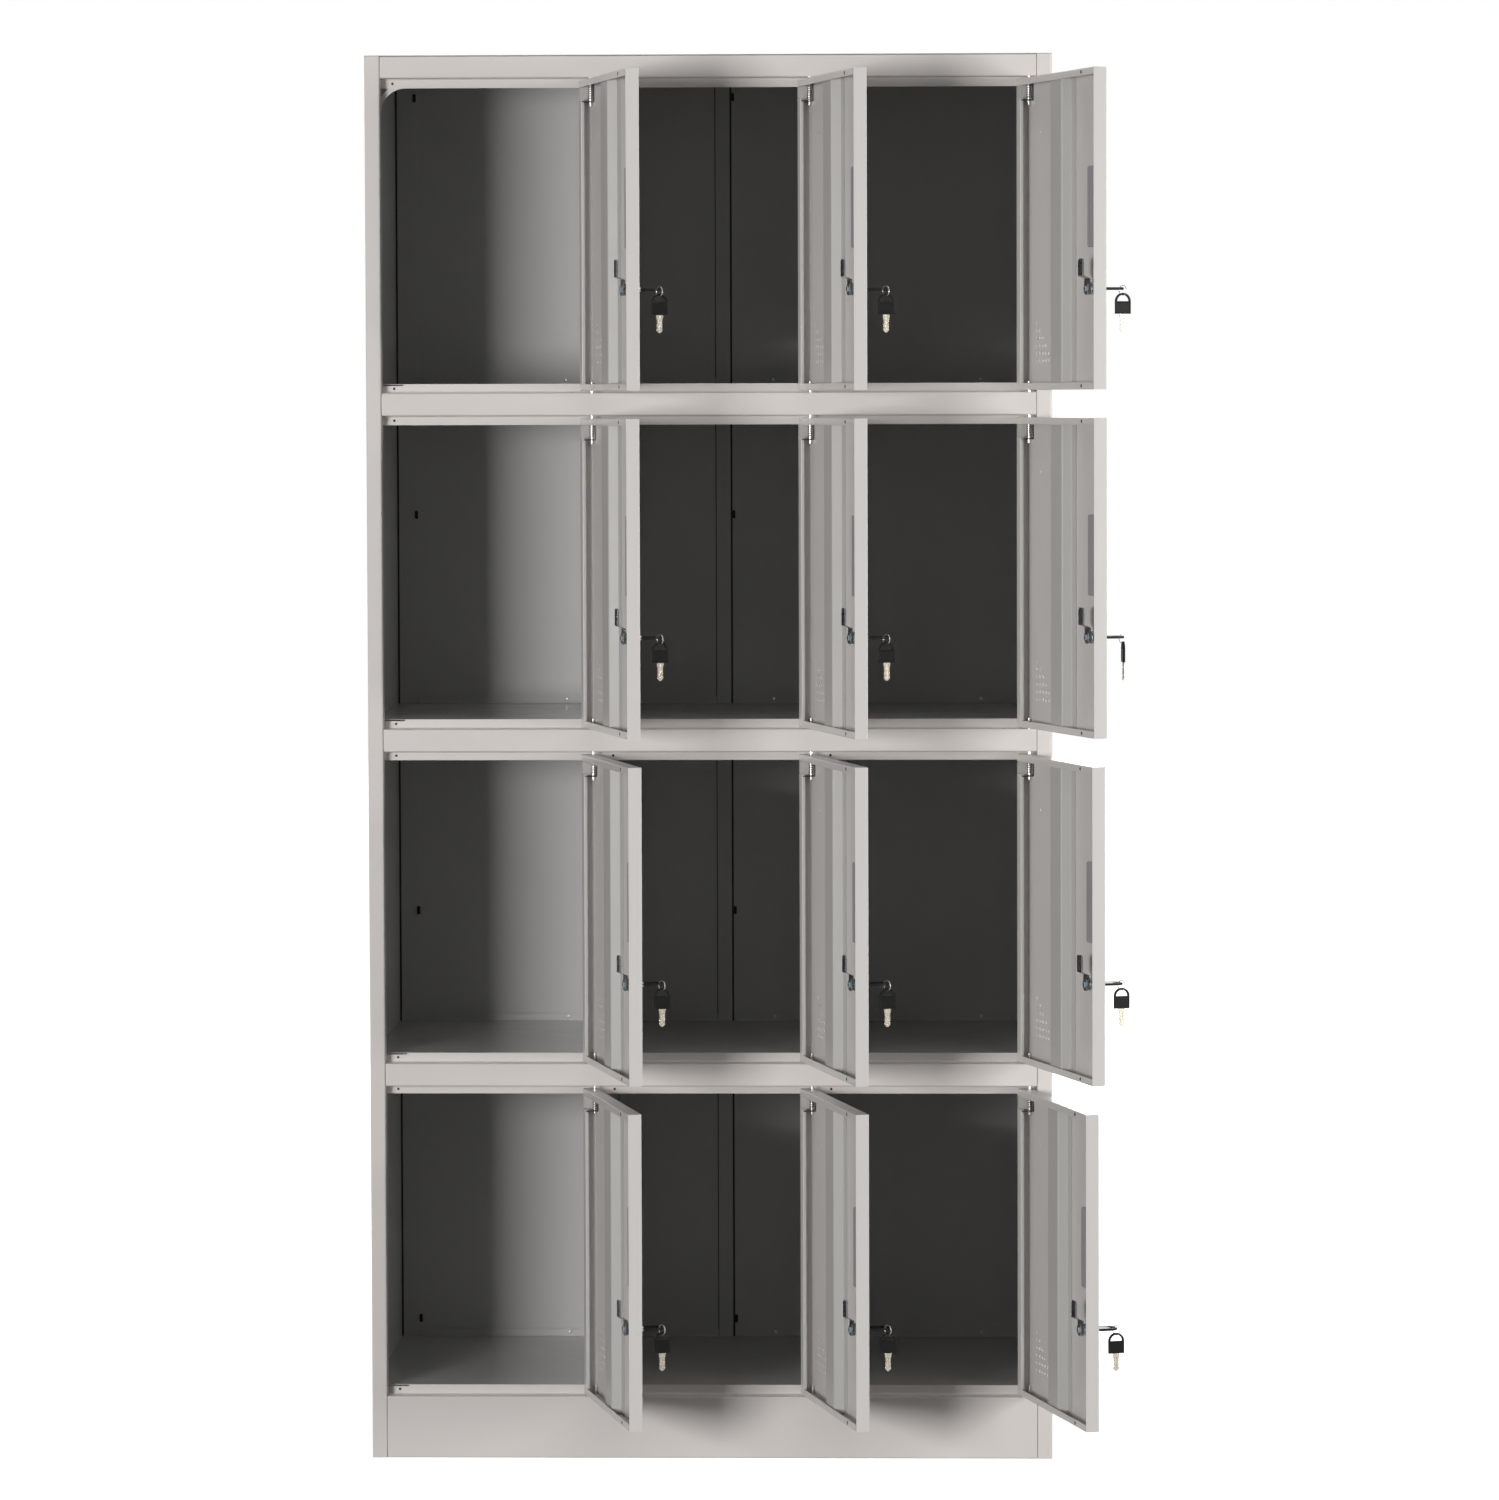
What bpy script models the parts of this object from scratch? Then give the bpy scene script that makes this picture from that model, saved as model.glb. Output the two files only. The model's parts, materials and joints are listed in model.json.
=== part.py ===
"""Twelve-door steel locker, three columns by four rows, standing with every door open.

The frame: metres, +Z up, +X to the locker's right as seen from the front, +Y into the locker.
The origin is on the floor, on the centre line, in the middle of the front foot flange.
"""
import math

import bmesh
import bpy
from mathutils import Matrix, Vector

# Overall size and sheet
WIDTH = 0.900
HEIGHT = 1.850
DEPTH = 0.400
SHEET = 0.0008
FRAME_BEND = 0.0020
DOOR_BEND = 0.0012
FRAME_BEND_STEPS = 2
DOOR_BEND_STEPS = 1
BEND_LIMIT = math.radians(20)
SMOOTH_LIMIT = math.radians(40)
SEAM_GAP = 0.0003
RUNNING_GAP = 0.0003
CUT_OVERRUN = 0.0020
EMBED = 0.0004
COLUMNS = 3
ROWS = 4

# Front frame, back and foot
STILE_WIDTH = 0.020
STILE_SIDE_RETURN = 0.010
RAIL_HEIGHT = 0.030
RAIL_TOP_FLANGE = 0.015
PLINTH_HEIGHT = 0.082
STOP_DEPTH = 0.021
RAIL_LIP = 0.012
FREE_STOP = 0.006
HINGE_STOP = 0.021
LIP_HOLE_FROM_SEAM = 0.015
LIP_HOLE_RADIUS = 0.0014
LIP_HOLE_SIDES = 6
LIP_NOTCH_LENGTH = 0.027
LIP_NOTCH_DEPTH = 0.0024
FOOT_DEPTH = 0.020
REAR_FOOT_HEIGHT = 0.060
BACK_EDGE_STRIP = 0.029
CENTRE_STRIP_WIDTH = 0.028
CENTRE_STRIP_OFFSET = 0.008

# Door leaf, measured from its hinge edge (across), outer face (inward) and bottom edge (up)
DOOR_TOP_GAP = 0.0036
DOOR_BOTTOM_GAP = 0.0024
DOOR_HINGE_GAP = 0.0011
DOOR_FREE_GAP = 0.0055
DOOR_THICKNESS = 0.0175
DOOR_LIP = 0.009
HINGE_LIP = 0.0145
HINGE_LIP_RETURN = 0.0042
STIFFENER_BASE_START = 0.1130
STIFFENER_TOP_START = 0.1170
STIFFENER_TOP_END = 0.1554
STIFFENER_BASE_END = 0.1606
STIFFENER_FOOT = 0.015
STIFFENER_RISE = 0.014
STIFFENER_END_GAP = 0.002

# Hinge
PIN_FROM_FRAME = 0.0100
PIN_INSET = 0.0034
PIN_RADIUS = 0.0022
PIN_SIDES = 6
PIN_HOLE_SIDES = 8
PIN_REACH = 0.005
TOP_PIN_DROP = 0.034
BOTTOM_PIN_RISE = 0.012
BRACKET_DROP = 0.026
BRACKET_SINK = 0.0016
BRACKET_THICKNESS = 0.0012
BRACKET_LENGTH = 0.021
SPRING_RADIUS = 0.0030
SPRING_SIDES = 6

# Pull plate
PULL_WIDTH = 0.036
PULL_HEIGHT = 0.103
PULL_BOTTOM = 0.180
PULL_FROM_FREE_EDGE = 0.006
PULL_DEPTH = 0.010
PULL_PROUD = 0.0015
DISH_MARGIN = 0.004
DISH_DEPTH = 0.0035

# Lock, measured from the outer face of the leaf
LOCK_FROM_FREE_EDGE = 0.026
LOCK_UP = 0.1275
BARREL_RADIUS = 0.0080
BARREL_LENGTH = 0.0130
ROSE_RADIUS = 0.0100
ROSE_PROUD = 0.0020
NUT_RADIUS = 0.0100
NUT_SIDES = 6
NUT_END = 0.0050
PLUG_RADIUS = 0.0055
PLUG_PROUD = 0.0026
PLUG_SIDES = 12
BARREL_SIDES = 8
CAM_WIDTH = 0.016
CAM_THICKNESS = 0.0022
CAM_ROOT_INSET = 0.0150
CAM_TIP_INSET = 0.0236
CAM_ROOT_DROP = 0.008
CAM_CRANK_START = 0.0125
CAM_CRANK_END = 0.0160
CAM_REACH = 0.038
CAM_SCREW_RADIUS = 0.0040
CAM_SCREW_HEIGHT = 0.0028
CAM_SCREW_SIDES = 6
KEEPER_NOTCH_DEPTH = 0.006
KEEPER_NOTCH_MARGIN = 0.004

# Keys and their ring
KEY_WIDTH = 0.021
KEY_LENGTH = 0.0265
KEY_THICKNESS = 0.0032
KEY_BAR = 0.0026
KEY_ARCH_STEPS = 6
COLLAR_RADIUS = 0.0034
COLLAR_LENGTH = 0.0036
COLLAR_SIDES = 6
BLADE_LENGTH = 0.023
BLADE_WIDTH = 0.0074
BLADE_THICKNESS = 0.0020
BLADE_TIP = 0.0030
SHOULDER_WIDTH = 0.0084
SHOULDER_LENGTH = 0.0040
RING_RADIUS = 0.0062
RING_WIRE_RADIUS = 0.0007
RING_STEPS = 10
RING_WIRE_SIDES = 4
RING_PLAY = 0.0018
RING_BITE = 0.0004
RING_TURN = math.radians(65)
HANG_TURN = math.radians(25)

# How far each door stands open, the left column first, top row first
OPEN_DEGREES = (
    (105.9, 106.1, 109.5),
    (105.7, 106.1, 109.6),
    (105.9, 106.1, 109.1),
    (105.5, 106.1, 107.3),
)
# How far each hanging spare key has turned about the vertical
SPARE_DEGREES = (
    (0, 0, 0),
    (0, 0, 75),
    (0, 0, 0),
    (0, 0, 0),
)

# Places worked out from the sizes above
FRONT = -FOOT_DEPTH / 2
BACK = FRONT + DEPTH
LEFT = -WIDTH / 2
RIGHT = WIDTH / 2
STOP = FRONT + STOP_DEPTH
PITCH = (WIDTH - 2 * STILE_WIDTH) / COLUMNS
OPENING_HEIGHT = (HEIGHT - PLINTH_HEIGHT - ROWS * RAIL_HEIGHT) / ROWS
BEHIND_STOP = STOP + SHEET + SEAM_GAP
POST_BACK = BEHIND_STOP + SHEET + SEAM_GAP
STRIP_FRONT = BACK - 2 * SHEET - SEAM_GAP
SHELF_BACK = STRIP_FRONT - SEAM_GAP
INNER_LEFT = LEFT + SHEET + SEAM_GAP
INNER_RIGHT = RIGHT - SHEET - SEAM_GAP
RAIL_START = LEFT + STILE_WIDTH + SEAM_GAP
RAIL_END = RIGHT - STILE_WIDTH - SEAM_GAP
FLOOR_LEVEL = PLINTH_HEIGHT + RAIL_LIP
UNDER_TOP = HEIGHT - SHEET - SEAM_GAP
LAP_DEPTH = (BEHIND_STOP + SHELF_BACK) / 2

HINGE_X = PIN_FROM_FRAME - DOOR_HINGE_GAP
LEAF_WIDTH = PITCH - DOOR_HINGE_GAP - DOOR_FREE_GAP
LEAF_HEIGHT = OPENING_HEIGHT - DOOR_TOP_GAP - DOOR_BOTTOM_GAP
FREE_X = HINGE_X - LEAF_WIDTH
LIP_END_X = HINGE_X - HINGE_LIP
FACE_Y = -PIN_INSET
LIP_Y = FACE_Y + DOOR_THICKNESS
LOCK_X = FREE_X + LOCK_FROM_FREE_EDGE
PULL_X = FREE_X + PULL_FROM_FREE_EDGE
PIN_HOLE_RADIUS = PIN_RADIUS + RUNNING_GAP
BORE_RADIUS = PLUG_RADIUS + RUNNING_GAP

ARCH_RADIUS = KEY_WIDTH / 2
HEAD_BASE_Y = -PLUG_PROUD - COLLAR_LENGTH
ARCH_CENTRE_Y = HEAD_BASE_Y - KEY_LENGTH + ARCH_RADIUS
HANG_RADIUS = ARCH_RADIUS - KEY_BAR / 2
HANG_X = -HANG_RADIUS * math.sin(HANG_TURN)
HANG_Y = ARCH_CENTRE_Y - HANG_RADIUS * math.cos(HANG_TURN)
RING_INSIDE = RING_RADIUS - RING_WIRE_RADIUS
RING_CENTRE_Z = KEY_THICKNESS / 2 + RING_PLAY - RING_INSIDE
SPARE_TOP_Z = RING_CENTRE_Z - RING_INSIDE - RING_BITE + KEY_BAR

PAINT = (0.604, 0.571, 0.552)
GUNMETAL = (0.090, 0.088, 0.086)
KEY_METAL = (0.550, 0.470, 0.370)

for old in list(bpy.data.objects):
    bpy.data.objects.remove(old, do_unlink=True)


def new_collection(name):
    made = bpy.data.collections.new(name)
    bpy.context.scene.collection.children.link(made)
    return made


LOCKER = new_collection("twelve_door_locker")
CUTTERS = new_collection("locker_cutters")


def new_material(name, colour, roughness, metallic):
    made = bpy.data.materials.new(name)
    made.use_nodes = True
    shader = made.node_tree.nodes["Principled BSDF"]
    shader.inputs["Base Color"].default_value = (*colour, 1)
    shader.inputs["Roughness"].default_value = roughness
    shader.inputs["Metallic"].default_value = metallic
    made.diffuse_color = (*colour, 1)
    return made


def steel_paint(name):
    return new_material("paint_" + name, PAINT, 0.45, 0)


def piece(name, mesh, material):
    """One solid of the locker. A mesh may be shared, so the material sits on the object."""
    if not mesh.materials:
        mesh.materials.append(None)
    made = bpy.data.objects.new(name, mesh)
    made.material_slots[0].link = "OBJECT"
    made.material_slots[0].material = material
    LOCKER.objects.link(made)
    return made


def guide(name, mesh):
    """A cutter, or a shape that is joined to another."""
    made = bpy.data.objects.new(name, mesh)
    made.hide_render = True
    made.display_type = "WIRE"
    CUTTERS.objects.link(made)
    return made


def mesh_from(name, bm):
    mesh = bpy.data.meshes.new(name)
    bm.to_mesh(mesh)
    bm.free()
    return mesh


def block_mesh(name, low, high):
    """A box between two corners."""
    bm = bmesh.new()
    bmesh.ops.create_cube(bm, size=1)
    low, high = Vector(low), Vector(high)
    bmesh.ops.scale(bm, verts=bm.verts, vec=high - low)
    bmesh.ops.translate(bm, verts=bm.verts, vec=(low + high) / 2)
    return mesh_from(name, bm)


def block(name, low, high):
    return guide(name, block_mesh(name, low, high))


def rod_mesh(name, radius, start, end, sides):
    """A round bar from one point to another."""
    bm = bmesh.new()
    start, end = Vector(start), Vector(end)
    run = end - start
    bmesh.ops.create_cone(
        bm, cap_ends=True, segments=sides, radius1=radius, radius2=radius, depth=run.length
    )
    turn = Vector((0, 0, 1)).rotation_difference(run).to_matrix()
    bmesh.ops.rotate(bm, verts=bm.verts, cent=Vector(), matrix=turn)
    bmesh.ops.translate(bm, verts=bm.verts, vec=(start + end) / 2)
    return mesh_from(name, bm)


def rod(name, radius, start, end, sides):
    return guide(name, rod_mesh(name, radius, start, end, sides))


def boolean(target, tool, operation):
    step = target.modifiers.new(operation.lower() + "_" + tool.name, "BOOLEAN")
    step.operation = operation
    step.solver = "EXACT"
    step.object = tool


def cut(target, tool):
    boolean(target, tool, "DIFFERENCE")


def join(target, tool):
    boolean(target, tool, "UNION")


def settled(source, name):
    """The mesh that an object's modifiers give, for several objects to share."""
    bpy.context.view_layer.update()
    ready = source.evaluated_get(bpy.context.evaluated_depsgraph_get())
    mesh = bpy.data.meshes.new_from_object(ready)
    mesh.name = name
    mesh.materials.clear()
    mesh.shade_smooth()
    mesh.set_sharp_from_angle(angle=SMOOTH_LIMIT)
    return mesh


def folded_mesh(name, outline, along, start, end):
    """An open sheet: an outline in the plane across X or Z, swept along that axis.

    The sheet's thickness is added later, to the left of the outline as it is walked.
    """
    bm = bmesh.new()
    ends = []
    for place in (start, end):
        if along == "X":
            ends.append([bm.verts.new((place, *point)) for point in outline])
        else:
            ends.append([bm.verts.new((*point, place)) for point in outline])
    near, far = ends
    for here in range(len(outline) - 1):
        bm.faces.new((near[here], near[here + 1], far[here + 1], far[here]))
    return mesh_from(name, bm)


def thicken(made, thickness):
    shell = made.modifiers.new("sheet", "SOLIDIFY")
    shell.thickness = thickness
    shell.offset = -1
    shell.use_even_offset = True
    return made


def fold(made, radius, steps):
    """Round the fold lines of an open sheet, then give it its thickness."""
    bend = made.modifiers.new("bends", "BEVEL")
    bend.width = radius
    bend.segments = steps
    bend.limit_method = "ANGLE"
    bend.angle_limit = BEND_LIMIT
    return thicken(made, SHEET)


def frame_sheet(name, outline, along, start, end):
    """A folded member of the frame."""
    mesh = folded_mesh(name, outline, along, start, end)
    return fold(piece(name, mesh, steel_paint(name)), FRAME_BEND, FRAME_BEND_STEPS)


def door_sheet(name, outline, along, start, end):
    """A folded strip of the door leaf."""
    strip = guide(name, folded_mesh(name, outline, along, start, end))
    return fold(strip, DOOR_BEND, DOOR_BEND_STEPS)


def flat_sheet(name, low, high):
    return piece(name, block_mesh(name, low, high), steel_paint(name))


def seam_x(index):
    """Where two columns meet. Index 0 is the inner edge of the left stile."""
    return LEFT + STILE_WIDTH + index * PITCH


def hinge_x(column):
    return seam_x(column + 1) - PIN_FROM_FRAME


def opening_bottom(row):
    """Lower edge of a row's openings, the top row being row 0."""
    return PLINTH_HEIGHT + (ROWS - 1 - row) * (OPENING_HEIGHT + RAIL_HEIGHT)


def make_stiles():
    inner = LEFT + STILE_WIDTH
    left = [
        (LEFT, FRONT + STILE_SIDE_RETURN),
        (LEFT, FRONT),
        (inner, FRONT),
        (inner, STOP),
    ]
    frame_sheet("left_stile", left, "Z", 0, UNDER_TOP)
    inner = RIGHT - STILE_WIDTH
    right = [
        (inner - HINGE_STOP, STOP),
        (inner, STOP),
        (inner, FRONT),
        (RIGHT, FRONT),
        (RIGHT, FRONT + STILE_SIDE_RETURN),
    ]
    frame_sheet("right_stile", right, "Z", 0, UNDER_TOP)


def clear_stile_lip(rail, low, high):
    """Cut a rail's right end back to clear the lip of the right stile."""
    low_corner = (RAIL_END - HINGE_STOP, STOP - FRAME_BEND - SEAM_GAP, low - CUT_OVERRUN)
    high_corner = (RAIL_END + CUT_OVERRUN, STOP + SHEET + CUT_OVERRUN, high + CUT_OVERRUN)
    cut(rail, block("relief_" + rail.name, low_corner, high_corner))


def drill_pin_holes(rail, level, side):
    """Three holes for the hinge pins, through the sheet at one level."""
    for column in range(COLUMNS):
        x, y = hinge_x(column), FRONT + PIN_INSET
        start = (x, y, level - SHEET - CUT_OVERRUN)
        end = (x, y, level + SHEET + CUT_OVERRUN)
        name = f"pin_hole_{rail.name}_{side}_{column + 1}"
        cut(rail, rod(name, PIN_HOLE_RADIUS, start, end, PIN_HOLE_SIDES))


def drill_lip_holes(rail, level, side):
    """One small hole in each column's stop lip, for a door buffer."""
    for column in range(COLUMNS):
        x = seam_x(column) + LIP_HOLE_FROM_SEAM
        start, end = (x, STOP - CUT_OVERRUN, level), (x, STOP + SHEET + CUT_OVERRUN, level)
        name = f"lip_hole_{rail.name}_{side}_{column + 1}"
        cut(rail, rod(name, LIP_HOLE_RADIUS, start, end, LIP_HOLE_SIDES))


def notch_lip(rail, top):
    """Cut down the left end of an upright stop lip."""
    low = (RAIL_START - CUT_OVERRUN, STOP - CUT_OVERRUN, top - LIP_NOTCH_DEPTH)
    high = (seam_x(0) + LIP_NOTCH_LENGTH, STOP + SHEET + CUT_OVERRUN, top + CUT_OVERRUN)
    cut(rail, block("lip_notch_" + rail.name, low, high))


def make_rails():
    bottom = HEIGHT - RAIL_HEIGHT
    outline = [
        (FRONT + RAIL_TOP_FLANGE, UNDER_TOP),
        (FRONT, UNDER_TOP),
        (FRONT, bottom),
        (STOP, bottom),
        (STOP, bottom - RAIL_LIP),
    ]
    rail = frame_sheet("top_rail", outline, "X", RAIL_START, RAIL_END)
    drill_pin_holes(rail, bottom, "lower")
    clear_stile_lip(rail, bottom - RAIL_LIP, bottom)
    drill_lip_holes(rail, bottom - RAIL_LIP / 2, "lower")
    for row in range(ROWS - 1):
        top = opening_bottom(row)
        bottom = top - RAIL_HEIGHT
        outline = [
            (STOP, top + RAIL_LIP),
            (STOP, top),
            (FRONT, top),
            (FRONT, bottom),
            (STOP, bottom),
            (STOP, bottom - RAIL_LIP),
        ]
        rail = frame_sheet(f"middle_rail_{row + 1}", outline, "X", RAIL_START, RAIL_END)
        drill_pin_holes(rail, top, "upper")
        drill_pin_holes(rail, bottom, "lower")
        drill_lip_holes(rail, top + RAIL_LIP / 2, "upper")
        drill_lip_holes(rail, bottom - RAIL_LIP / 2, "lower")
        notch_lip(rail, top + RAIL_LIP)
        clear_stile_lip(rail, bottom - RAIL_LIP, top + RAIL_LIP)


def make_base():
    outline = [
        (STOP, FLOOR_LEVEL),
        (STOP, PLINTH_HEIGHT),
        (FRONT, PLINTH_HEIGHT),
        (FRONT, 0),
        (FRONT + FOOT_DEPTH, 0),
    ]
    plinth = frame_sheet("front_plinth", outline, "X", RAIL_START, RAIL_END)
    drill_pin_holes(plinth, PLINTH_HEIGHT, "upper")
    drill_lip_holes(plinth, PLINTH_HEIGHT + RAIL_LIP / 2, "upper")
    notch_lip(plinth, FLOOR_LEVEL)
    clear_stile_lip(plinth, 0, FLOOR_LEVEL)
    outline = [(SHELF_BACK - FOOT_DEPTH, 0), (SHELF_BACK, 0), (SHELF_BACK, REAR_FOOT_HEIGHT)]
    frame_sheet("rear_foot", outline, "X", INNER_LEFT, INNER_RIGHT)


def make_sides():
    front = FRONT + STILE_SIDE_RETURN + SEAM_GAP
    flat_sheet("left_side_panel", (LEFT, front, 0), (LEFT + SHEET, BACK, UNDER_TOP))
    flat_sheet("right_side_panel", (RIGHT - SHEET, front, 0), (RIGHT, BACK, UNDER_TOP))
    flat_sheet("top_panel", (LEFT, FRONT, HEIGHT - SHEET), (RIGHT, BACK, HEIGHT))


def make_shelf(name, level):
    under = level - SHEET
    return flat_sheet(name, (INNER_LEFT, BEHIND_STOP, under), (INNER_RIGHT, SHELF_BACK, level))


def make_shelves():
    """The floors. The three upper ones are notched for the posts and half-lapped with the dividers."""
    make_shelf("bottom_shelf", FLOOR_LEVEL)
    for row in range(ROWS - 1):
        level = opening_bottom(row) + RAIL_LIP
        shelf = make_shelf(f"shelf_{row + 1}", level)
        low, high = level - SHEET - CUT_OVERRUN, level + CUT_OVERRUN
        for seam in range(1, COLUMNS):
            middle = seam_x(seam)
            start = middle - HINGE_STOP - SEAM_GAP
            end = middle + FREE_STOP + SEAM_GAP
            name = f"post_notch_{row + 1}_{seam}"
            cut(shelf, block(name, (start, BEHIND_STOP - CUT_OVERRUN, low), (end, POST_BACK, high)))
            half = SHEET / 2 + SEAM_GAP
            name = f"shelf_slot_{row + 1}_{seam}"
            rear = SHELF_BACK + CUT_OVERRUN
            cut(shelf, block(name, (middle - half, LAP_DEPTH, low), (middle + half, rear, high)))


def make_divider(seam):
    """A post behind the door stops, and the panel that parts two columns."""
    middle = seam_x(seam)
    foot = FLOOR_LEVEL + SEAM_GAP
    low = (middle - HINGE_STOP, BEHIND_STOP, foot)
    flat_sheet(f"divider_post_{seam}", low, (middle + FREE_STOP, BEHIND_STOP + SHEET, UNDER_TOP))
    half = SHEET / 2
    low = (middle - half, POST_BACK, foot)
    panel = flat_sheet(f"divider_panel_{seam}", low, (middle + half, SHELF_BACK, UNDER_TOP))
    start, end = middle - half - CUT_OVERRUN, middle + half + CUT_OVERRUN
    front = POST_BACK - CUT_OVERRUN
    for row in range(ROWS - 1):
        level = opening_bottom(row) + RAIL_LIP
        low, high = level - SHEET - SEAM_GAP, level + SEAM_GAP
        rear = LAP_DEPTH + SEAM_GAP
        cut(panel, block(f"divider_slot_{seam}_{row + 1}", (start, front, low), (end, rear, high)))
    for row in range(ROWS):
        level = opening_bottom(row) + DOOR_BOTTOM_GAP + LOCK_UP
        low, high = level - CAM_WIDTH / 2 - KEEPER_NOTCH_MARGIN, level + CAM_REACH
        rear = POST_BACK + KEEPER_NOTCH_DEPTH
        cut(panel, block(f"keeper_notch_{seam}_{row + 1}", (start, front, low), (end, rear, high)))


def make_back():
    inside = BACK - SHEET
    for side, start, end, strip in (
        ("left", INNER_LEFT, -SEAM_GAP / 2, INNER_LEFT),
        ("right", SEAM_GAP / 2, INNER_RIGHT, INNER_RIGHT - BACK_EDGE_STRIP),
    ):
        panel = flat_sheet(f"back_panel_{side}", (start, inside, 0), (end, BACK, UNDER_TOP))
        low = (strip, inside - SHEET, PLINTH_HEIGHT)
        high = (strip + BACK_EDGE_STRIP, inside + EMBED, UNDER_TOP)
        join(panel, block(f"back_edge_strip_{side}", low, high))
    start = CENTRE_STRIP_OFFSET - CENTRE_STRIP_WIDTH / 2
    low = (start, STRIP_FRONT, PLINTH_HEIGHT)
    high = (start + CENTRE_STRIP_WIDTH, STRIP_FRONT + SHEET, UNDER_TOP)
    flat_sheet("back_centre_strip", low, high)


def leaf_shell():
    """The door pan: face, side flanges with the hinge lip, then the top and bottom flanges."""
    outline = [
        (FREE_X, LIP_Y),
        (FREE_X, FACE_Y),
        (HINGE_X, FACE_Y),
        (HINGE_X, LIP_Y),
        (LIP_END_X, LIP_Y),
        (LIP_END_X, LIP_Y - HINGE_LIP_RETURN),
    ]
    leaf = door_sheet("leaf_shell", outline, "Z", 0, LEAF_HEIGHT)
    start, end = FREE_X + EMBED, HINGE_X - EMBED
    edge = FACE_Y + EMBED
    outline = [(LIP_Y, LEAF_HEIGHT - DOOR_LIP), (LIP_Y, LEAF_HEIGHT), (edge, LEAF_HEIGHT)]
    join(leaf, door_sheet("leaf_top", outline, "X", start, end))
    outline = [(edge, 0), (LIP_Y, 0), (LIP_Y, DOOR_LIP)]
    join(leaf, door_sheet("leaf_bottom", outline, "X", start, end))
    low = (LIP_END_X - CUT_OVERRUN, LIP_Y - HINGE_LIP_RETURN - CUT_OVERRUN, LEAF_HEIGHT - BRACKET_DROP)
    high = (HINGE_X - DOOR_BEND, LIP_Y + CUT_OVERRUN, LEAF_HEIGHT - DOOR_LIP)
    cut(leaf, block("hinge_lip_relief", low, high))
    return leaf


def add_stiffener(leaf):
    """A hat section down the middle of the leaf, its feet welded to the face sheet."""
    foot = FACE_Y + SHEET - EMBED / 2
    top = FACE_Y + STIFFENER_RISE - SHEET
    outline = [
        (HINGE_X - STIFFENER_BASE_END - STIFFENER_FOOT, foot),
        (HINGE_X - STIFFENER_BASE_END, foot),
        (HINGE_X - STIFFENER_TOP_END, top),
        (HINGE_X - STIFFENER_TOP_START, top),
        (HINGE_X - STIFFENER_BASE_START, foot),
        (HINGE_X - STIFFENER_BASE_START + STIFFENER_FOOT, foot),
    ]
    start, end = STIFFENER_END_GAP, LEAF_HEIGHT - STIFFENER_END_GAP
    join(leaf, door_sheet("stiffener", outline, "Z", start, end))


def add_hinge_pins(leaf):
    """Both pins, the bracket of the top one, and its coil spring as a plain sleeve."""
    top = LEAF_HEIGHT + DOOR_TOP_GAP + SHEET + PIN_REACH
    join(leaf, rod("top_pin", PIN_RADIUS, (0, 0, LEAF_HEIGHT - TOP_PIN_DROP), (0, 0, top), PIN_SIDES))
    bottom = -DOOR_BOTTOM_GAP - SHEET - PIN_REACH
    join(leaf, rod("bottom_pin", PIN_RADIUS, (0, 0, bottom), (0, 0, BOTTOM_PIN_RISE), PIN_SIDES))
    level = LEAF_HEIGHT - BRACKET_DROP - BRACKET_SINK
    low = (HINGE_X - BRACKET_LENGTH, FACE_Y + EMBED, level - BRACKET_THICKNESS)
    join(leaf, block("pin_bracket", low, (HINGE_X - EMBED, LIP_Y - EMBED, level)))
    start, end = (0, 0, level - EMBED), (0, 0, LEAF_HEIGHT - SHEET / 2)
    join(leaf, rod("plain_spring", SPRING_RADIUS, start, end, SPRING_SIDES))


def add_pull(leaf):
    """The pull plate, let through the face and dished on its outer side."""
    outside = FACE_Y - PULL_PROUD
    high = (PULL_X + PULL_WIDTH, FACE_Y + PULL_DEPTH, PULL_BOTTOM + PULL_HEIGHT)
    join(leaf, block("pull_plate", (PULL_X, outside, PULL_BOTTOM), high))
    low = (PULL_X + DISH_MARGIN, outside - CUT_OVERRUN, PULL_BOTTOM + DISH_MARGIN)
    high = (high[0] - DISH_MARGIN, outside + DISH_DEPTH, high[2] - DISH_MARGIN)
    cut(leaf, block("pull_dish", low, high))


def lock_place(depth):
    return (LOCK_X, FACE_Y + depth, LOCK_UP)


def add_lock_barrel(leaf):
    """The barrel with its rose outside and its nut inside, bored for the plug."""
    join(leaf, rod("barrel", BARREL_RADIUS, lock_place(-EMBED), lock_place(BARREL_LENGTH), BARREL_SIDES))
    join(leaf, rod("rose", ROSE_RADIUS, lock_place(-ROSE_PROUD), lock_place(EMBED), BARREL_SIDES))
    join(leaf, rod("nut", NUT_RADIUS, lock_place(EMBED), lock_place(NUT_END), NUT_SIDES))
    start, end = lock_place(-ROSE_PROUD - CUT_OVERRUN), lock_place(BARREL_LENGTH + CUT_OVERRUN)
    cut(leaf, rod("bore", BORE_RADIUS, start, end, PLUG_SIDES))


def door_mesh():
    """The leaf, closed: its hinge axis is the local Z axis and its bottom edge is at zero."""
    leaf = leaf_shell()
    add_stiffener(leaf)
    add_hinge_pins(leaf)
    add_pull(leaf)
    add_lock_barrel(leaf)
    return settled(leaf, "door")


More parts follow.
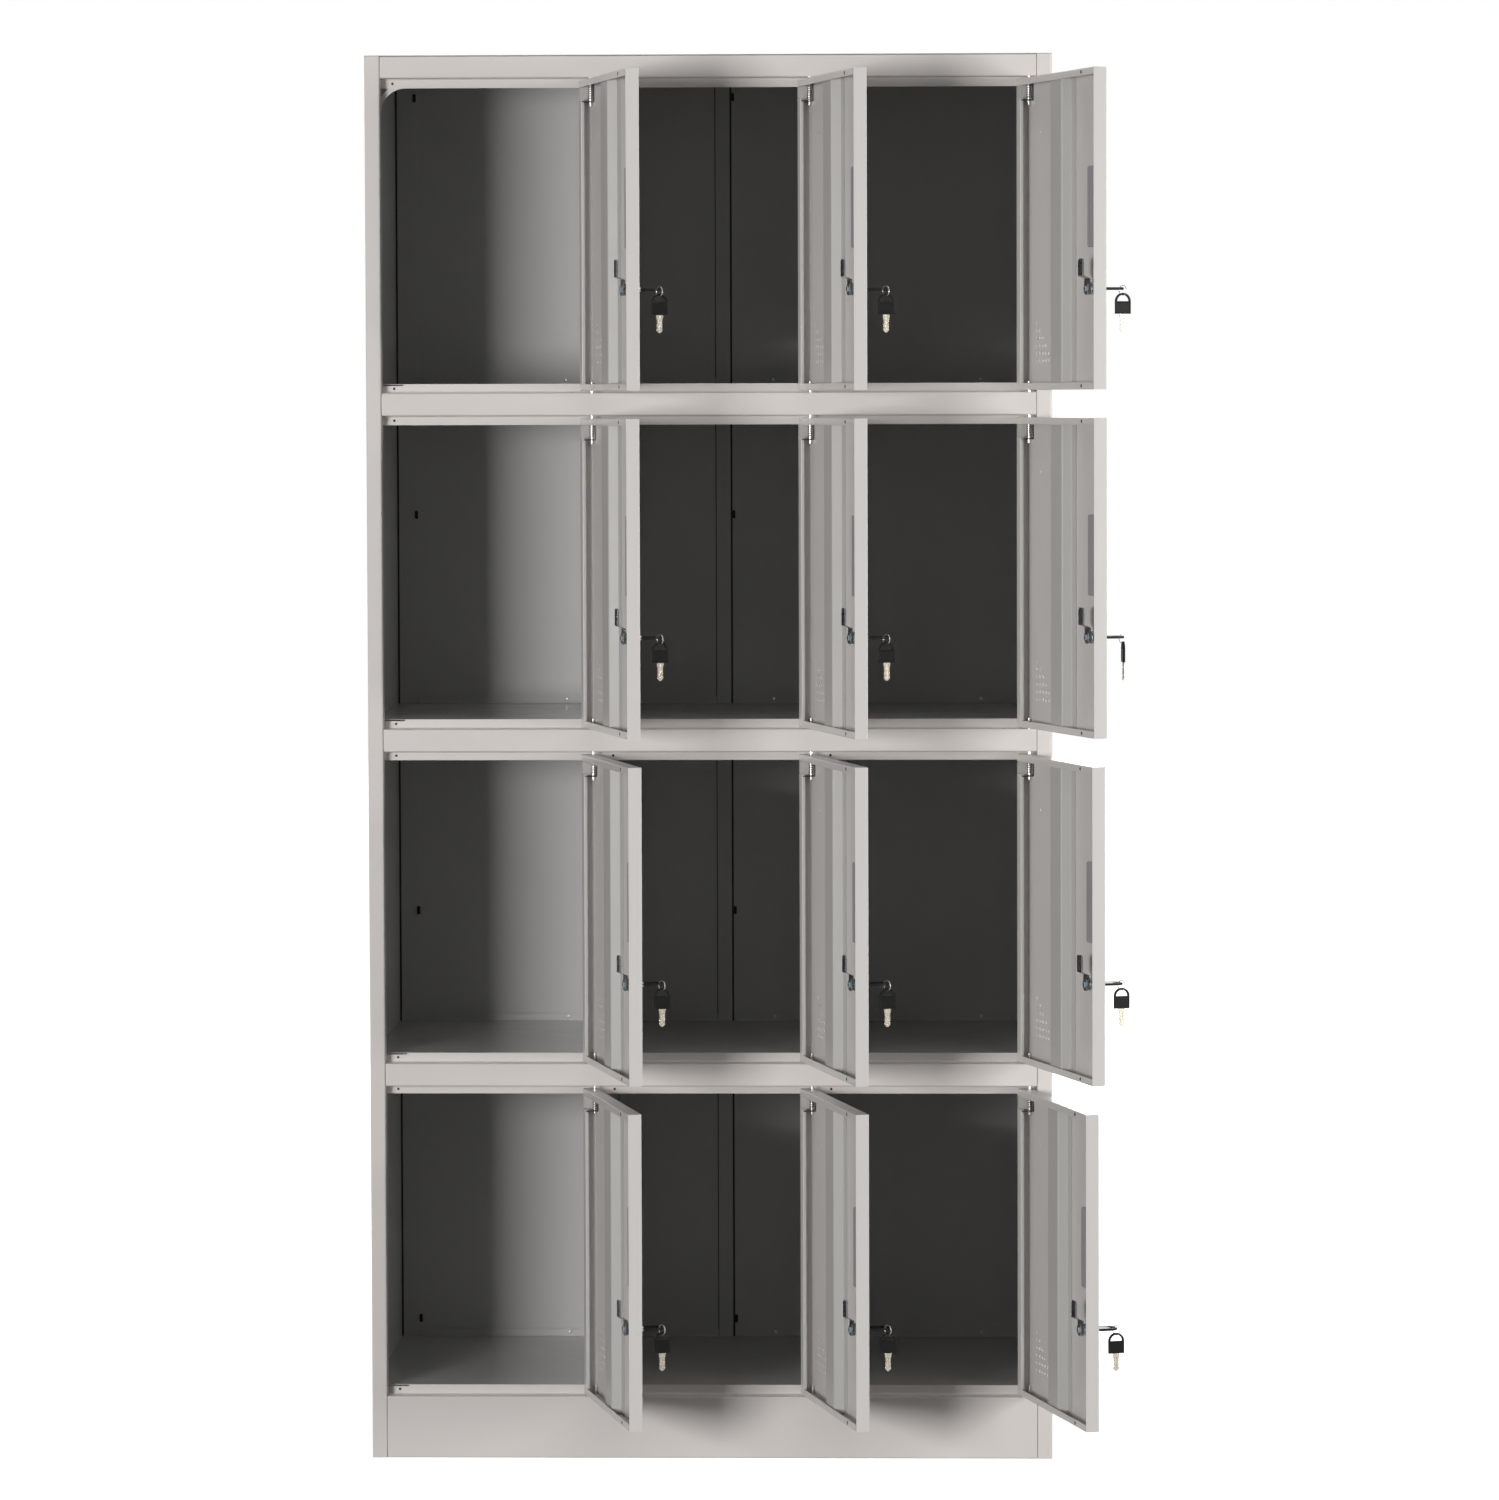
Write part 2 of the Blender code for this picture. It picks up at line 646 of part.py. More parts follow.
def plate(name, outlines, thickness):
    """A flat plate in the XY plane: an outline and any holes in it."""
    curve = bpy.data.curves.new(name, "CURVE")
    curve.dimensions = "2D"
    curve.fill_mode = "BOTH"
    curve.extrude = thickness / 2
    for outline in outlines:
        spline = curve.splines.new("POLY")
        spline.points.add(len(outline) - 1)
        for point, (x, y) in zip(spline.points, outline):
            point.co = (x, y, 0, 1)
        spline.use_cyclic_u = True
    source = guide(name, curve)
    mesh = settled(source, name)
    bpy.data.objects.remove(source, do_unlink=True)
    bm = bmesh.new()
    bm.from_mesh(mesh)
    bmesh.ops.remove_doubles(bm, verts=bm.verts, dist=SEAM_GAP / 100)
    bm.to_mesh(mesh)
    bm.free()
    return mesh


def arc(radius, middle):
    """Half a circle above a height, from its right end to its left."""
    points = []
    for step in range(KEY_ARCH_STEPS + 1):
        angle = math.pi * step / KEY_ARCH_STEPS
        points.append((radius * math.cos(angle), middle + radius * math.sin(angle)))
    return points


def bow_mesh(name):
    """A key's head: flat edge on the X axis, arch at +Y, and a half-round eye in the arch."""
    middle = KEY_LENGTH - ARCH_RADIUS
    outer = [(ARCH_RADIUS, 0)] + arc(ARCH_RADIUS, middle) + [(-ARCH_RADIUS, 0)]
    return plate(name, [outer, arc(ARCH_RADIUS - KEY_BAR, middle)], KEY_THICKNESS)


def blade_mesh(name):
    """The spare key's blade, hanging down from the X axis, shouldered and pointed."""
    half = BLADE_WIDTH / 2
    shoulder = SHOULDER_WIDTH / 2
    points = [
        (-shoulder, EMBED),
        (-shoulder, -SHOULDER_LENGTH),
        (-half, -SHOULDER_LENGTH),
        (-half, -BLADE_LENGTH + BLADE_TIP),
        (0, -BLADE_LENGTH),
        (half, -BLADE_LENGTH + BLADE_TIP),
        (half, -SHOULDER_LENGTH),
        (shoulder, -SHOULDER_LENGTH),
        (shoulder, EMBED),
    ]
    return plate(name, [points], BLADE_THICKNESS)


def moved(mesh, turn, place):
    mesh.transform(Matrix.Translation(place) @ turn.to_4x4())
    return mesh


def lock_mesh():
    """Plug, cam, cam screw and the key in the plug.

    The lock's axis is the local Y axis, zero is the leaf's outer face and the cam points up.
    """
    outline = [
        (CAM_TIP_INSET, CAM_REACH),
        (CAM_TIP_INSET, CAM_CRANK_END),
        (CAM_ROOT_INSET, CAM_CRANK_START),
        (CAM_ROOT_INSET, -CAM_ROOT_DROP),
    ]
    cam = guide("cam", folded_mesh("cam", outline, "X", -CAM_WIDTH / 2, CAM_WIDTH / 2))
    thicken(cam, CAM_THICKNESS)
    screw = CAM_ROOT_INSET + CAM_THICKNESS
    for name, radius, start, end, sides in (
        ("plug", PLUG_RADIUS, -PLUG_PROUD, CAM_ROOT_INSET + EMBED, PLUG_SIDES),
        ("cam_screw", CAM_SCREW_RADIUS, screw - EMBED, screw + CAM_SCREW_HEIGHT, CAM_SCREW_SIDES),
        ("collar", COLLAR_RADIUS, HEAD_BASE_Y - EMBED, -PLUG_PROUD + EMBED, COLLAR_SIDES),
    ):
        join(cam, rod(name, radius, (0, start, 0), (0, end, 0), sides))
    turn = Matrix.Rotation(math.pi, 3, "Z")
    join(cam, guide("key_head", moved(bow_mesh("key_head"), turn, (0, HEAD_BASE_Y, 0))))
    return settled(cam, "lock")


def ring_mesh():
    """The split ring as one closed turn, upright, in the XZ plane."""
    bpy.ops.mesh.primitive_torus_add(
        major_segments=RING_STEPS,
        minor_segments=RING_WIRE_SIDES,
        major_radius=RING_RADIUS,
        minor_radius=RING_WIRE_RADIUS,
        rotation=(0, 0, 0),
        location=(0, 0, 0),
    )
    made = bpy.context.object
    mesh = made.data
    bpy.data.objects.remove(made, do_unlink=True)
    return moved(mesh, Matrix.Rotation(math.pi / 2, 3, "X"), (0, 0, 0))


def spare_key_mesh():
    """The spare key on its ring; the origin is the middle of the bar that the ring hangs from."""
    upright = Matrix.Rotation(math.pi / 2, 3, "X")
    sideways = Matrix.Rotation(math.pi / 2, 3, "Z")
    base = (0, 0, SPARE_TOP_Z - KEY_LENGTH)
    spare = guide("spare_bow", moved(bow_mesh("spare_bow"), sideways @ upright, base))
    join(spare, guide("spare_blade", moved(blade_mesh("spare_blade"), sideways @ upright, base)))
    turn = Matrix.Rotation(math.pi / 2 - RING_TURN, 3, "Z")
    join(spare, guide("ring", moved(ring_mesh(), turn, (0, 0, RING_CENTRE_Z))))
    return settled(spare, "spare_key")


def make_doors():
    leaf, lock, spare = door_mesh(), lock_mesh(), spare_key_mesh()
    for row in range(ROWS):
        for column in range(COLUMNS):
            label = f"r{row + 1}c{column + 1}"
            door = piece("door_" + label, leaf, steel_paint("door_" + label))
            level = opening_bottom(row) + DOOR_BOTTOM_GAP
            door.location = (hinge_x(column), FRONT + PIN_INSET, level)
            door.rotation_euler = (0, 0, math.radians(OPEN_DEGREES[row][column]))
            metal = new_material("gunmetal_" + label, GUNMETAL, 0.35, 1)
            plug = piece("lock_" + label, lock, metal)
            plug.parent = door
            plug.location = (LOCK_X, FACE_Y, LOCK_UP)
            metal = new_material("key_metal_" + label, KEY_METAL, 0.35, 1)
            key = piece("spare_key_" + label, spare, metal)
            key.parent = plug
            key.location = (HANG_X, HANG_Y, 0)
            key.rotation_euler = (0, 0, math.radians(SPARE_DEGREES[row][column]))


make_stiles()
make_rails()
make_base()
make_sides()
make_shelves()
for seam in range(1, COLUMNS):
    make_divider(seam)
make_back()
make_doors()
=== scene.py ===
"""The look of the twelve-door steel locker: paint, metal and plastic, fine pieces, light and camera.

Door pieces are built in the leaf's own frame: the hinge axis is Z, the bottom edge is at zero,
+Y points from the outer face to the inside, and the free edge is at -X.
"""

import json
import math

import bmesh
import bpy
from mathutils import Matrix, Vector


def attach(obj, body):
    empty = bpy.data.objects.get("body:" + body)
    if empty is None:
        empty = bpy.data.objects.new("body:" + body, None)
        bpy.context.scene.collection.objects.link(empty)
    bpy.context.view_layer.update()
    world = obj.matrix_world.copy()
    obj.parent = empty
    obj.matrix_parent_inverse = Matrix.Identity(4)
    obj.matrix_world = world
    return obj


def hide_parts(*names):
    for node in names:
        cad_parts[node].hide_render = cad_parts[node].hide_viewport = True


# Sheet and folds
SHEET = 0.0008
DOOR_BEND = 0.0013
BEND_STEPS = 4
OVERRUN = 0.002
SKIN = 0.0002
FLAT_WEIGHT = 100
SHARP_FROM = math.radians(32)
HEXAGON = 6
BOX_CORNER_STEPS = 6

# Door leaf
LEAF_WIDTH = 0.28007
LEAF_HEIGHT = 0.4060
DOOR_THICKNESS = 0.0175
DOOR_LIP = 0.009
HINGE_LIP = 0.0145
HINGE_LIP_RETURN = 0.0042
HINGE_INSET = 0.0034
HINGE_X = 0.0089
STIFFENER_BASE_START = 0.1130
STIFFENER_TOP_START = 0.1170
STIFFENER_TOP_END = 0.1554
STIFFENER_BASE_END = 0.1606
STIFFENER_FOOT = 0.015
STIFFENER_RISE = 0.014
STIFFENER_END_GAP = 0.002

# Holes in the leaf
VENT_ROWS = (5, 5, 4, 3, 2, 1)
VENT_ACROSS = 0.0318
VENT_UP = 0.0375
VENT_STEP_ACROSS = 0.0110
VENT_STEP_UP = 0.0099
VENT_RADIUS = 0.0023
VENT_SIDES = 20
PEEP_ACROSS = 0.0456
PEEP_UP = 0.3350
PEEP_RADIUS = 0.0016
LIP_HOLE_ACROSS = 0.2360
LIP_HOLE_RADIUS = 0.0025
# Painted shade: a dark disc in each hole of the door's lips
DOOR_HOLE_SHADE_RADIUS = 0.0024

# Hinge
PIN_RADIUS = 0.0021
PIN_SIDES = 24
PIN_CHAMFER = 0.0006
TOP_PIN_TOP = 0.0094
TOP_PIN_DROP = 0.034
BOTTOM_PIN_DROP = 0.0082
BOTTOM_PIN_RISE = 0.012
BRACKET_DROP = 0.026
BRACKET_SINK = 0.0016
BRACKET_THICKNESS = 0.0012
BRACKET_LENGTH = 0.0205
SPRING_RADIUS = 0.0030
SPRING_WIRE = 0.00055
SPRING_TURNS = 8
SPRING_STEPS = 16
SPRING_END = 0.0016

# Pull plate
PULL_WIDTH = 0.036
PULL_HEIGHT = 0.103
PULL_BOTTOM = 0.180
PULL_FROM_FREE_EDGE = 0.006
PULL_DEPTH = 0.010
PULL_PROUD = 0.0015
PULL_CORNER = 0.0030
PULL_EDGE = 0.0007
DISH_MARGIN = 0.004
DISH_SLOPE = 0.0030
DISH_DEPTH = 0.0035

# Lock
LOCK_ROSE_RADIUS = 0.0100
LOCK_ROSE_PROUD = 0.0020
BARREL_RADIUS = 0.0079
BARREL_LENGTH = 0.0130
NUT_RADIUS = 0.0099
NUT_START = 0.0010
NUT_END = 0.0050
NUT_CHAMFER = 0.0007
BORE_RADIUS = 0.0058
PLUG_RADIUS = 0.0055
PLUG_PROUD = 0.0026
TURNED_SIDES = 40
BARREL_RIM = 3 * SKIN
PLUG_RIM = 2 * SKIN
CAM_WIDTH = 0.016
CAM_THICKNESS = 0.0022
CAM_ROOT_INSET = 0.0150
CAM_TIP_INSET = 0.0236
CAM_ROOT_DROP = 0.008
CAM_CRANK_START = 0.0125
CAM_CRANK_END = 0.0160
CAM_REACH = 0.038
CAM_STEPS = 7
CAM_TIP_SHARE = 0.6
CAM_EDGE = 0.0003
CAM_EDGE_STEPS = 2
CAM_SCREW_RADIUS = 0.0040
CAM_SCREW_HEIGHT = 0.0028
CAM_SCREW_SHARES = ((0.5, 1.0), (0.75, 0.85))

# Keys and ring
KEY_WIDTH = 0.021
KEY_LENGTH = 0.0265
KEY_THICKNESS = 0.0032
KEY_PANEL_THICKNESS = 0.0024
KEY_RIM = 0.0018
KEY_BAR = 0.0026
KEY_EDGE = 0.0005
KEY_ARCH_STEPS = 20
PANEL_SPREAD = 1.04
EDGE_STEPS = 2
COLLAR_RADIUS = 0.0034
COLLAR_LENGTH = 0.0036
BLADE_LENGTH = 0.023
BLADE_WIDTH = 0.0074
BLADE_THICKNESS = 0.0019
BLADE_TIP = 0.0030
BLADE_EDGE = 0.00015
BLADE_NOTCHES = (0.0075, 0.0105, 0.0135, 0.0165)
NOTCH_DEPTHS = (0.0009, 0.0014, 0.0006, 0.0012)
NOTCH_HALF = 0.0009
NOTCH_FLAT_HALF = NOTCH_HALF / 3
GROOVE_WIDTH = 0.0012
WEB_SPREAD = (1.3, 1.01)
SHOULDER_WIDTH = 0.0084
SHOULDER_LENGTH = 0.0040
RING_RADIUS = 0.0062
RING_WIRE = 0.00040
RING_TURNS = 2
RING_STEPS = 32
RING_PLAY = 0.0018
RING_BITE = 0.0004
RING_TURN = math.radians(65)
RING_START = math.pi / 3
CAD_RING_WIRE = 0.0007
TUBE_SIDES = 10
SPARE_TURNED = {"r2c3": math.radians(75)}

# Cabinet, as the solids have it
HEIGHT = 1.850
LEFT = -0.450
BACK = 0.390
STOP = 0.011
STILE_INNER = -0.430
PLINTH_HEIGHT = 0.082
RAIL_HEIGHT = 0.030
RAIL_LIP = 0.012
OPENING_HEIGHT = 0.412
COLUMN_PITCH = 0.2866667
ROWS = 4
COLUMNS = 3
SHELF_BACK = 0.3878
STRIP_FRONT = 0.3881
FRAME_NODES = ("_stile", "_rail", "plinth")

# Cabinet details
GUSSET_RADIUS = 0.032
GUSSET_STEPS = 16
# Painted shade: small dark discs in the stop lips' holes stand in for the shade seen through them
LIP_HOLE_SHADE_FROM_SEAM = 0.0150
LIP_HOLE_SHADE_RADIUS = 0.0017
LIP_HOLE_SHADE_PROUD = 0.0005
LIP_HOLE_SHADE_TIP_SHARE = 0.6
# Painted shade: small dark patches on the back strips stand in for notches that lie in shade
NOTCH_SHADE_COLUMNS = (-0.4225, 0.0180)
NOTCH_SHADE_LEVELS = (1.816, 1.240, 0.690, 0.119)
NOTCH_SHADE_WIDTH = 0.0042
NOTCH_SHADE_HEIGHT = 0.0110
NOTCH_SHADE_PROUD = 0.0014
NOTCH_SHADE_EDGE = 2 * SKIN
NOTCH_SHADE_CORNER = NOTCH_SHADE_WIDTH / 3
# Painted shade: dark strips beside the back's strips and at the left joint of the back, where the gaps lie in
# shade
SHADE_LINES = ((-0.4494, -0.4467), (-0.0072, -0.0060), (0.0136, 0.0162))
UPSTAND_HEIGHT = 0.010
UPSTAND_ENDS = ((-0.4195, -0.1441), (-0.1425, -0.0065), (0.0225, 0.1425), (0.1441, 0.4195))
RIVET_COLUMNS = (-0.2140, 0.0727, 0.3594)
RIVET_RADIUS = 0.0022
RIVET_PROUD = 0.0009
RIVET_SHARES = ((0.0, 1.0), (0.6, 0.8), (1.0, 0.4))
RIVET_LEVEL_SHARE = 0.6

# Camera
CAMERA_PLACE = (0.2996, -7.1676, 1.398)
CAMERA_YAW = 0.0236
CAMERA_PITCH = 0.0442
CAMERA_ROLL = -0.0026
CAMERA_LENS = 130.98
CAMERA_SENSOR = 36.0
CAMERA_SHIFT = (-0.0395, -0.0725)
CAMERA_FAR = 100.0

# Light: power in watts, width and height, place and aim of each soft box
LIGHTS = {
    "key": (245.0, 1.7, 1.4, (-2.85, -6.0, 1.20), (0.0, 0.0, 0.95)),
    "front_left": (10.0, 0.6, 2.0, (-3.9, -4.4, 1.20), (0.0, 0.0, 0.95)),
    "right_fill": (150.0, 1.2, 2.2, (4.6, -2.9, 1.20), (0.0, 0.0, 0.95)),
    "left_fill": (3.0, 1.2, 2.2, (-5.2, -2.2, 1.20), (0.0, -0.1, 0.95)),
    "top": (18.0, 2.5, 1.2, (0.0, -0.9, 4.6), (0.0, 0.0, 0.95)),
    "back_fill": (120.0, 3.0, 2.2, (1.0, 5.5, 2.2), (0.0, 0.0, 0.95)),
}
LIGHT_COLOUR = (1.0, 0.985, 0.97)
SURROUND_FRONT = 0.02
SURROUND_SIDES = 0.11
FRONT_CONE = (-0.90, -0.55)
REFLECTED_FRONT = 0.05
REFLECTED_SIDES = 0.70
REFLECTED_CONE = (-0.985, -0.80)
FLOOR_RADIUS = 14.0
FLOOR_RINGS = 24
FLOOR_SIDES = 96
FLOOR_COLOUR = (0.90, 0.90, 0.895)
FLOOR_GLOW = 0.80
FLOOR_DROP = 0.0002
FLOOR_NEAR = 0.5
FLOOR_FAR = 1.2

# Shading
NOISE_REACH = (0.3, 0.7)
TONE_DETAIL = 3.0
SPECKLE_SCALE = 1200.0
SPECKLE_DETAIL = 2.0
ROUGH_SCALE_RATIO = 6
ROUGH_DETAIL = 4.0
GRAIN_DETAIL = 3.0
GRAIN_HEIGHT = 0.0002
PAINT_ROUGHNESS = 0.30
PAINT_VARIATION = 0.012
PAINT_ROUGH_RANGE = 0.02
PAINT_GRAIN = 0.05
STIFFENER_ROUGHNESS = 0.45
SHELF_ROUGHNESS = 0.16

# Colours, linear
# Partly the frame's pale paint, partly painted light: lighter than the sheet's paint to stand in for the light on
# the front frame and the outside
FRAME_PAINT_AND_LIGHT = (0.740, 0.705, 0.685)
DOOR_PAINT = (0.642, 0.630, 0.614)
INSIDE_PAINT = (0.530, 0.530, 0.522)
# Painted shade: a darker copy of the door's paint, so the raised stiffener reads as dark as the leaf
STIFFENER_SHADED_PAINT = (0.490, 0.486, 0.472)
PULL_GREY = (0.330, 0.310, 0.335)
ZINC = (0.780, 0.770, 0.750)
LOCK_STEEL = (0.420, 0.480, 0.520)
CAM_STEEL = (0.420, 0.420, 0.430)
# Dark metal of the hinge bracket, so the corner round the top pin reads black
BRACKET_DARK = (0.130, 0.128, 0.130)
SPRING_STEEL = (0.300, 0.300, 0.310)
NICKEL = (0.660, 0.640, 0.610)
CHAMPAGNE = (0.760, 0.690, 0.580)
BLACK_PLASTIC = (0.0045, 0.0043, 0.0043)
# Painted shade: the colour of the dark discs in holes and the dark patches on notches
HOLE_SHADE_DARK = (0.030, 0.029, 0.028)
# Painted shade for the gaps beside the back's strips
PAINTED_SHADE_DARK = (0.012, 0.012, 0.011)

# Looks: colour, roughness, metal or not, and what differs from the usual surface
LOOKS = {
    "pull_plastic": (PULL_GREY, 0.50, 0.0, {"bump": 0.2, "bump_scale": 1500.0}),
    "zinc": (ZINC, 0.28, 1.0, {"tone": 0.05, "stretch": (1.0, 1.0, 0.2)}),
    # Dark metal, so the corner round the top pin reads black
    "dark_zinc": (BRACKET_DARK, 0.42, 1.0, {"tone": 0.08}),
    "lock_steel": (LOCK_STEEL, 0.32, 1.0, {"tone": 0.08, "tone_scale": 60.0, "bump": 0.15}),
    "nickel": (NICKEL, 0.25, 1.0, {"tone": 0.04, "tone_scale": 80.0}),
    "cam_steel": (CAM_STEEL, 0.30, 1.0, {"tone": 0.1, "tone_scale": 60.0, "bump": 0.15}),
    "spring_steel": (SPRING_STEEL, 0.30, 1.0, {"tone": 0.05}),
    "champagne": (CHAMPAGNE, 0.28, 1.0, {"tone": 0.05, "tone_scale": 90.0}),
    # Painted shade in the door lips' holes
    "door_plug_dark": (HOLE_SHADE_DARK, 0.60, 0.0, {"tone": 0.1}),
    "black_plastic": (BLACK_PLASTIC, 0.40, 0.0, {
        "tone": 0.15, "tone_scale": 120.0, "bump": 0.3, "bump_scale": 2500.0, "specular": 0.2}),
    # Painted shade in the stop lips' holes
    "plug_dark": (HOLE_SHADE_DARK, 0.60, 0.0, {"tone": 0.1}),
    "rivet_metal": (ZINC, 0.35, 1.0, {"tone": 0.05}),
    # Painted shade on the back strips' notches
    "tab_dark": (HOLE_SHADE_DARK, 0.45, 1.0, {"tone": 0.1}),
    # Painted shade beside the back strips
    "seam_dark": (PAINTED_SHADE_DARK, 0.60, 0.0, {"tone": 0.1}),
    "floor_white": (FLOOR_COLOUR, 0.70, 0.0, {"tone": 0.01, "speckle": 0.005, "bump": 0.05}),
}

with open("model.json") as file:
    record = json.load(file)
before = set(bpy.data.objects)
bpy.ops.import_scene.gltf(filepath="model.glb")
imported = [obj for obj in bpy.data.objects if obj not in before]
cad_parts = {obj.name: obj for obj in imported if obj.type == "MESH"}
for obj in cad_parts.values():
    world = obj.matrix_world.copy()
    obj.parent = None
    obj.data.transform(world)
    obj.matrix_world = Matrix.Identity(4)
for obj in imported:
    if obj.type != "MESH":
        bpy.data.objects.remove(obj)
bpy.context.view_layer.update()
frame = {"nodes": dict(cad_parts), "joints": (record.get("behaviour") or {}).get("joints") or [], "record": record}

JOINTS = {joint["name"]: joint for joint in frame["joints"]}
LABELS = [f"r{row + 1}c{column + 1}" for row in range(ROWS) for column in range(COLUMNS)]
FACE = -HINGE_INSET
LIP = FACE + DOOR_THICKNESS
FREE_X = HINGE_X - LEAF_WIDTH
LIP_END_X = HINGE_X - HINGE_LIP
ARCH_RADIUS = KEY_WIDTH / 2
HEAD_BASE = -PLUG_PROUD - COLLAR_LENGTH
RING_INSIDE = RING_RADIUS - CAD_RING_WIRE
RING_CENTRE = KEY_THICKNESS / 2 + RING_PLAY - RING_INSIDE
SPARE_TOP = RING_CENTRE - RING_INSIDE - RING_BITE + KEY_BAR
UPRIGHT = Matrix.Rotation(math.pi / 2, 4, "X")
SIDEWAYS = Matrix.Rotation(math.pi / 2, 4, "Z")
UNMOVED = Matrix.Identity(4)


def opening_bottom(row):
    return PLINTH_HEIGHT + (ROWS - 1 - row) * (OPENING_HEIGHT + RAIL_HEIGHT)


# Shader nodes

def node(tree, kind, **values):
    made = tree.nodes.new(kind)
    for name, value in values.items():
        if name in made.inputs:
            made.inputs[name].default_value = value
        else:
            setattr(made, name, value)
    return made


def spread(tree, place, scale, detail, low, high):
    """Noise at one scale, spread between two values."""
    noise = node(tree, "ShaderNodeTexNoise", Scale=scale, Detail=detail)
    tree.links.new(place, noise.inputs["Vector"])
    reach = node(tree, "ShaderNodeMapRange")
    reach.inputs["From Min"].default_value, reach.inputs["From Max"].default_value = NOISE_REACH
    reach.inputs["To Min"].default_value = low
    reach.inputs["To Max"].default_value = high
    tree.links.new(noise.outputs["Fac"], reach.inputs["Value"])
    return reach.outputs["Result"]


def surface(name, colour, roughness, metallic=0.0, tone=0.03, tone_scale=4.0, speckle=0.02,
            rough_range=0.06, bump=0.1, bump_scale=700.0, stretch=(1.0, 1.0, 1.0), specular=0.5):
    """A Principled surface whose colour, roughness and relief vary by noise in the object's own space."""
    made = bpy.data.materials.new(name)
    made.use_nodes = True
    tree = made.node_tree
    shader = tree.nodes["Principled BSDF"]
    shader.inputs["Metallic"].default_value = metallic
    shader.inputs["Specular IOR Level"].default_value = specular
    coordinates = node(tree, "ShaderNodeTexCoord")
    info = node(tree, "ShaderNodeObjectInfo")
    scaled = node(tree, "ShaderNodeVectorMath", operation="MULTIPLY")
    tree.links.new(coordinates.outputs["Object"], scaled.inputs[0])
    scaled.inputs[1].default_value = stretch
    offset = node(tree, "ShaderNodeVectorMath", operation="ADD")
    tree.links.new(scaled.outputs["Vector"], offset.inputs[0])
    tree.links.new(info.outputs["Random"], offset.inputs[1])
    place = offset.outputs["Vector"]
    broad = spread(tree, place, tone_scale, TONE_DETAIL, 1 - tone, 1 + tone)
    fine = spread(tree, place, SPECKLE_SCALE, SPECKLE_DETAIL, 1 - speckle, 1 + speckle)
    both = node(tree, "ShaderNodeMath", operation="MULTIPLY")
    tree.links.new(broad, both.inputs[0])
    tree.links.new(fine, both.inputs[1])
    tint = node(tree, "ShaderNodeVectorMath", operation="SCALE", name="tint")
    tint.inputs[0].default_value = colour
    tree.links.new(both.outputs["Value"], tint.inputs["Scale"])
    tree.links.new(tint.outputs["Vector"], shader.inputs["Base Color"])
    rough_scale = tone_scale * ROUGH_SCALE_RATIO
    rough = spread(tree, place, rough_scale, ROUGH_DETAIL, roughness - rough_range, roughness + rough_range)
    tree.links.new(rough, shader.inputs["Roughness"])
    grain = node(tree, "ShaderNodeTexNoise", Scale=bump_scale, Detail=GRAIN_DETAIL)
    tree.links.new(place, grain.inputs["Vector"])
    relief = node(tree, "ShaderNodeBump", Strength=bump, Distance=GRAIN_HEIGHT)
    tree.links.new(grain.outputs["Fac"], relief.inputs["Height"])
    tree.links.new(relief.outputs["Normal"], shader.inputs["Normal"])
    return made


def paint(name, colour, roughness=PAINT_ROUGHNESS):
    return surface(name, colour, roughness, tone=PAINT_VARIATION, speckle=PAINT_VARIATION,
                   rough_range=PAINT_ROUGH_RANGE, bump=PAINT_GRAIN)


def look(name):
    """The material of one entry of LOOKS."""
    colour, roughness, metallic, others = LOOKS[name]
    return surface(name, colour, roughness, metallic, **others)


def panel_paint():
    """Grey, but light on the outer planes of the sides, the back and the top: the light colour is partly paint,
    partly painted light.
    """
    made = paint("panel_paint", INSIDE_PAINT)
    tree = made.node_tree
    coordinates = node(tree, "ShaderNodeTexCoord")
    split = node(tree, "ShaderNodeSeparateXYZ")
    tree.links.new(coordinates.outputs["Object"], split.inputs["Vector"])
    across = node(tree, "ShaderNodeMath", operation="ABSOLUTE")
    tree.links.new(split.outputs["X"], across.inputs[0])
    outside = None
    planes = ((across.outputs["Value"], -LEFT), (split.outputs["Y"], BACK), (split.outputs["Z"], HEIGHT))
    for place, plane in planes:
        over = node(tree, "ShaderNodeMath", operation="GREATER_THAN")
        over.inputs[1].default_value = plane - SHEET / 2
        tree.links.new(place, over.inputs[0])
        if outside is not None:
            either = node(tree, "ShaderNodeMath", operation="MAXIMUM")
            tree.links.new(outside, either.inputs[0])
            tree.links.new(over.outputs["Value"], either.inputs[1])
            over = either
        outside = over.outputs["Value"]
    pick = node(tree, "ShaderNodeVectorMath", operation="MULTIPLY_ADD")
    tree.links.new(outside, pick.inputs[0])
    # The outer planes take the frame colour, partly paint and partly painted light
    pick.inputs[1].default_value = [light - grey for light, grey in zip(FRAME_PAINT_AND_LIGHT, INSIDE_PAINT)]
    pick.inputs[2].default_value = INSIDE_PAINT
    tree.links.new(pick.outputs["Vector"], tree.nodes["tint"].inputs[0])
    return made


# Mesh code

def finished(name, bm):
    """A mesh with its faces turned outward and its round parts smooth."""
    bmesh.ops.recalc_face_normals(bm, faces=bm.faces)
    mesh = bpy.data.meshes.new(name)
    bm.to_mesh(mesh)
    bm.free()
    mesh.shade_smooth()
    mesh.set_sharp_from_angle(angle=SHARP_FROM)
    return mesh


def loft(bm, loops, closed=False):
    """Skin a row of closed loops. The two ends are capped unless the row is closed on itself."""
    rings = [[bm.verts.new(point) for point in loop] for loop in loops]
    count = len(rings[0])
    last = len(rings) if closed else len(rings) - 1
    for here in range(last):
        near, far = rings[here], rings[(here + 1) % len(rings)]
        for side in range(count):
            after = (side + 1) % count
            bm.faces.new((near[side], near[after], far[after], far[side]))
    if not closed:
        bm.faces.new(rings[0])
        bm.faces.new(rings[-1])


def lofted(name, loops):
    bm = bmesh.new()
    loft(bm, loops)
    return finished(name, bm)


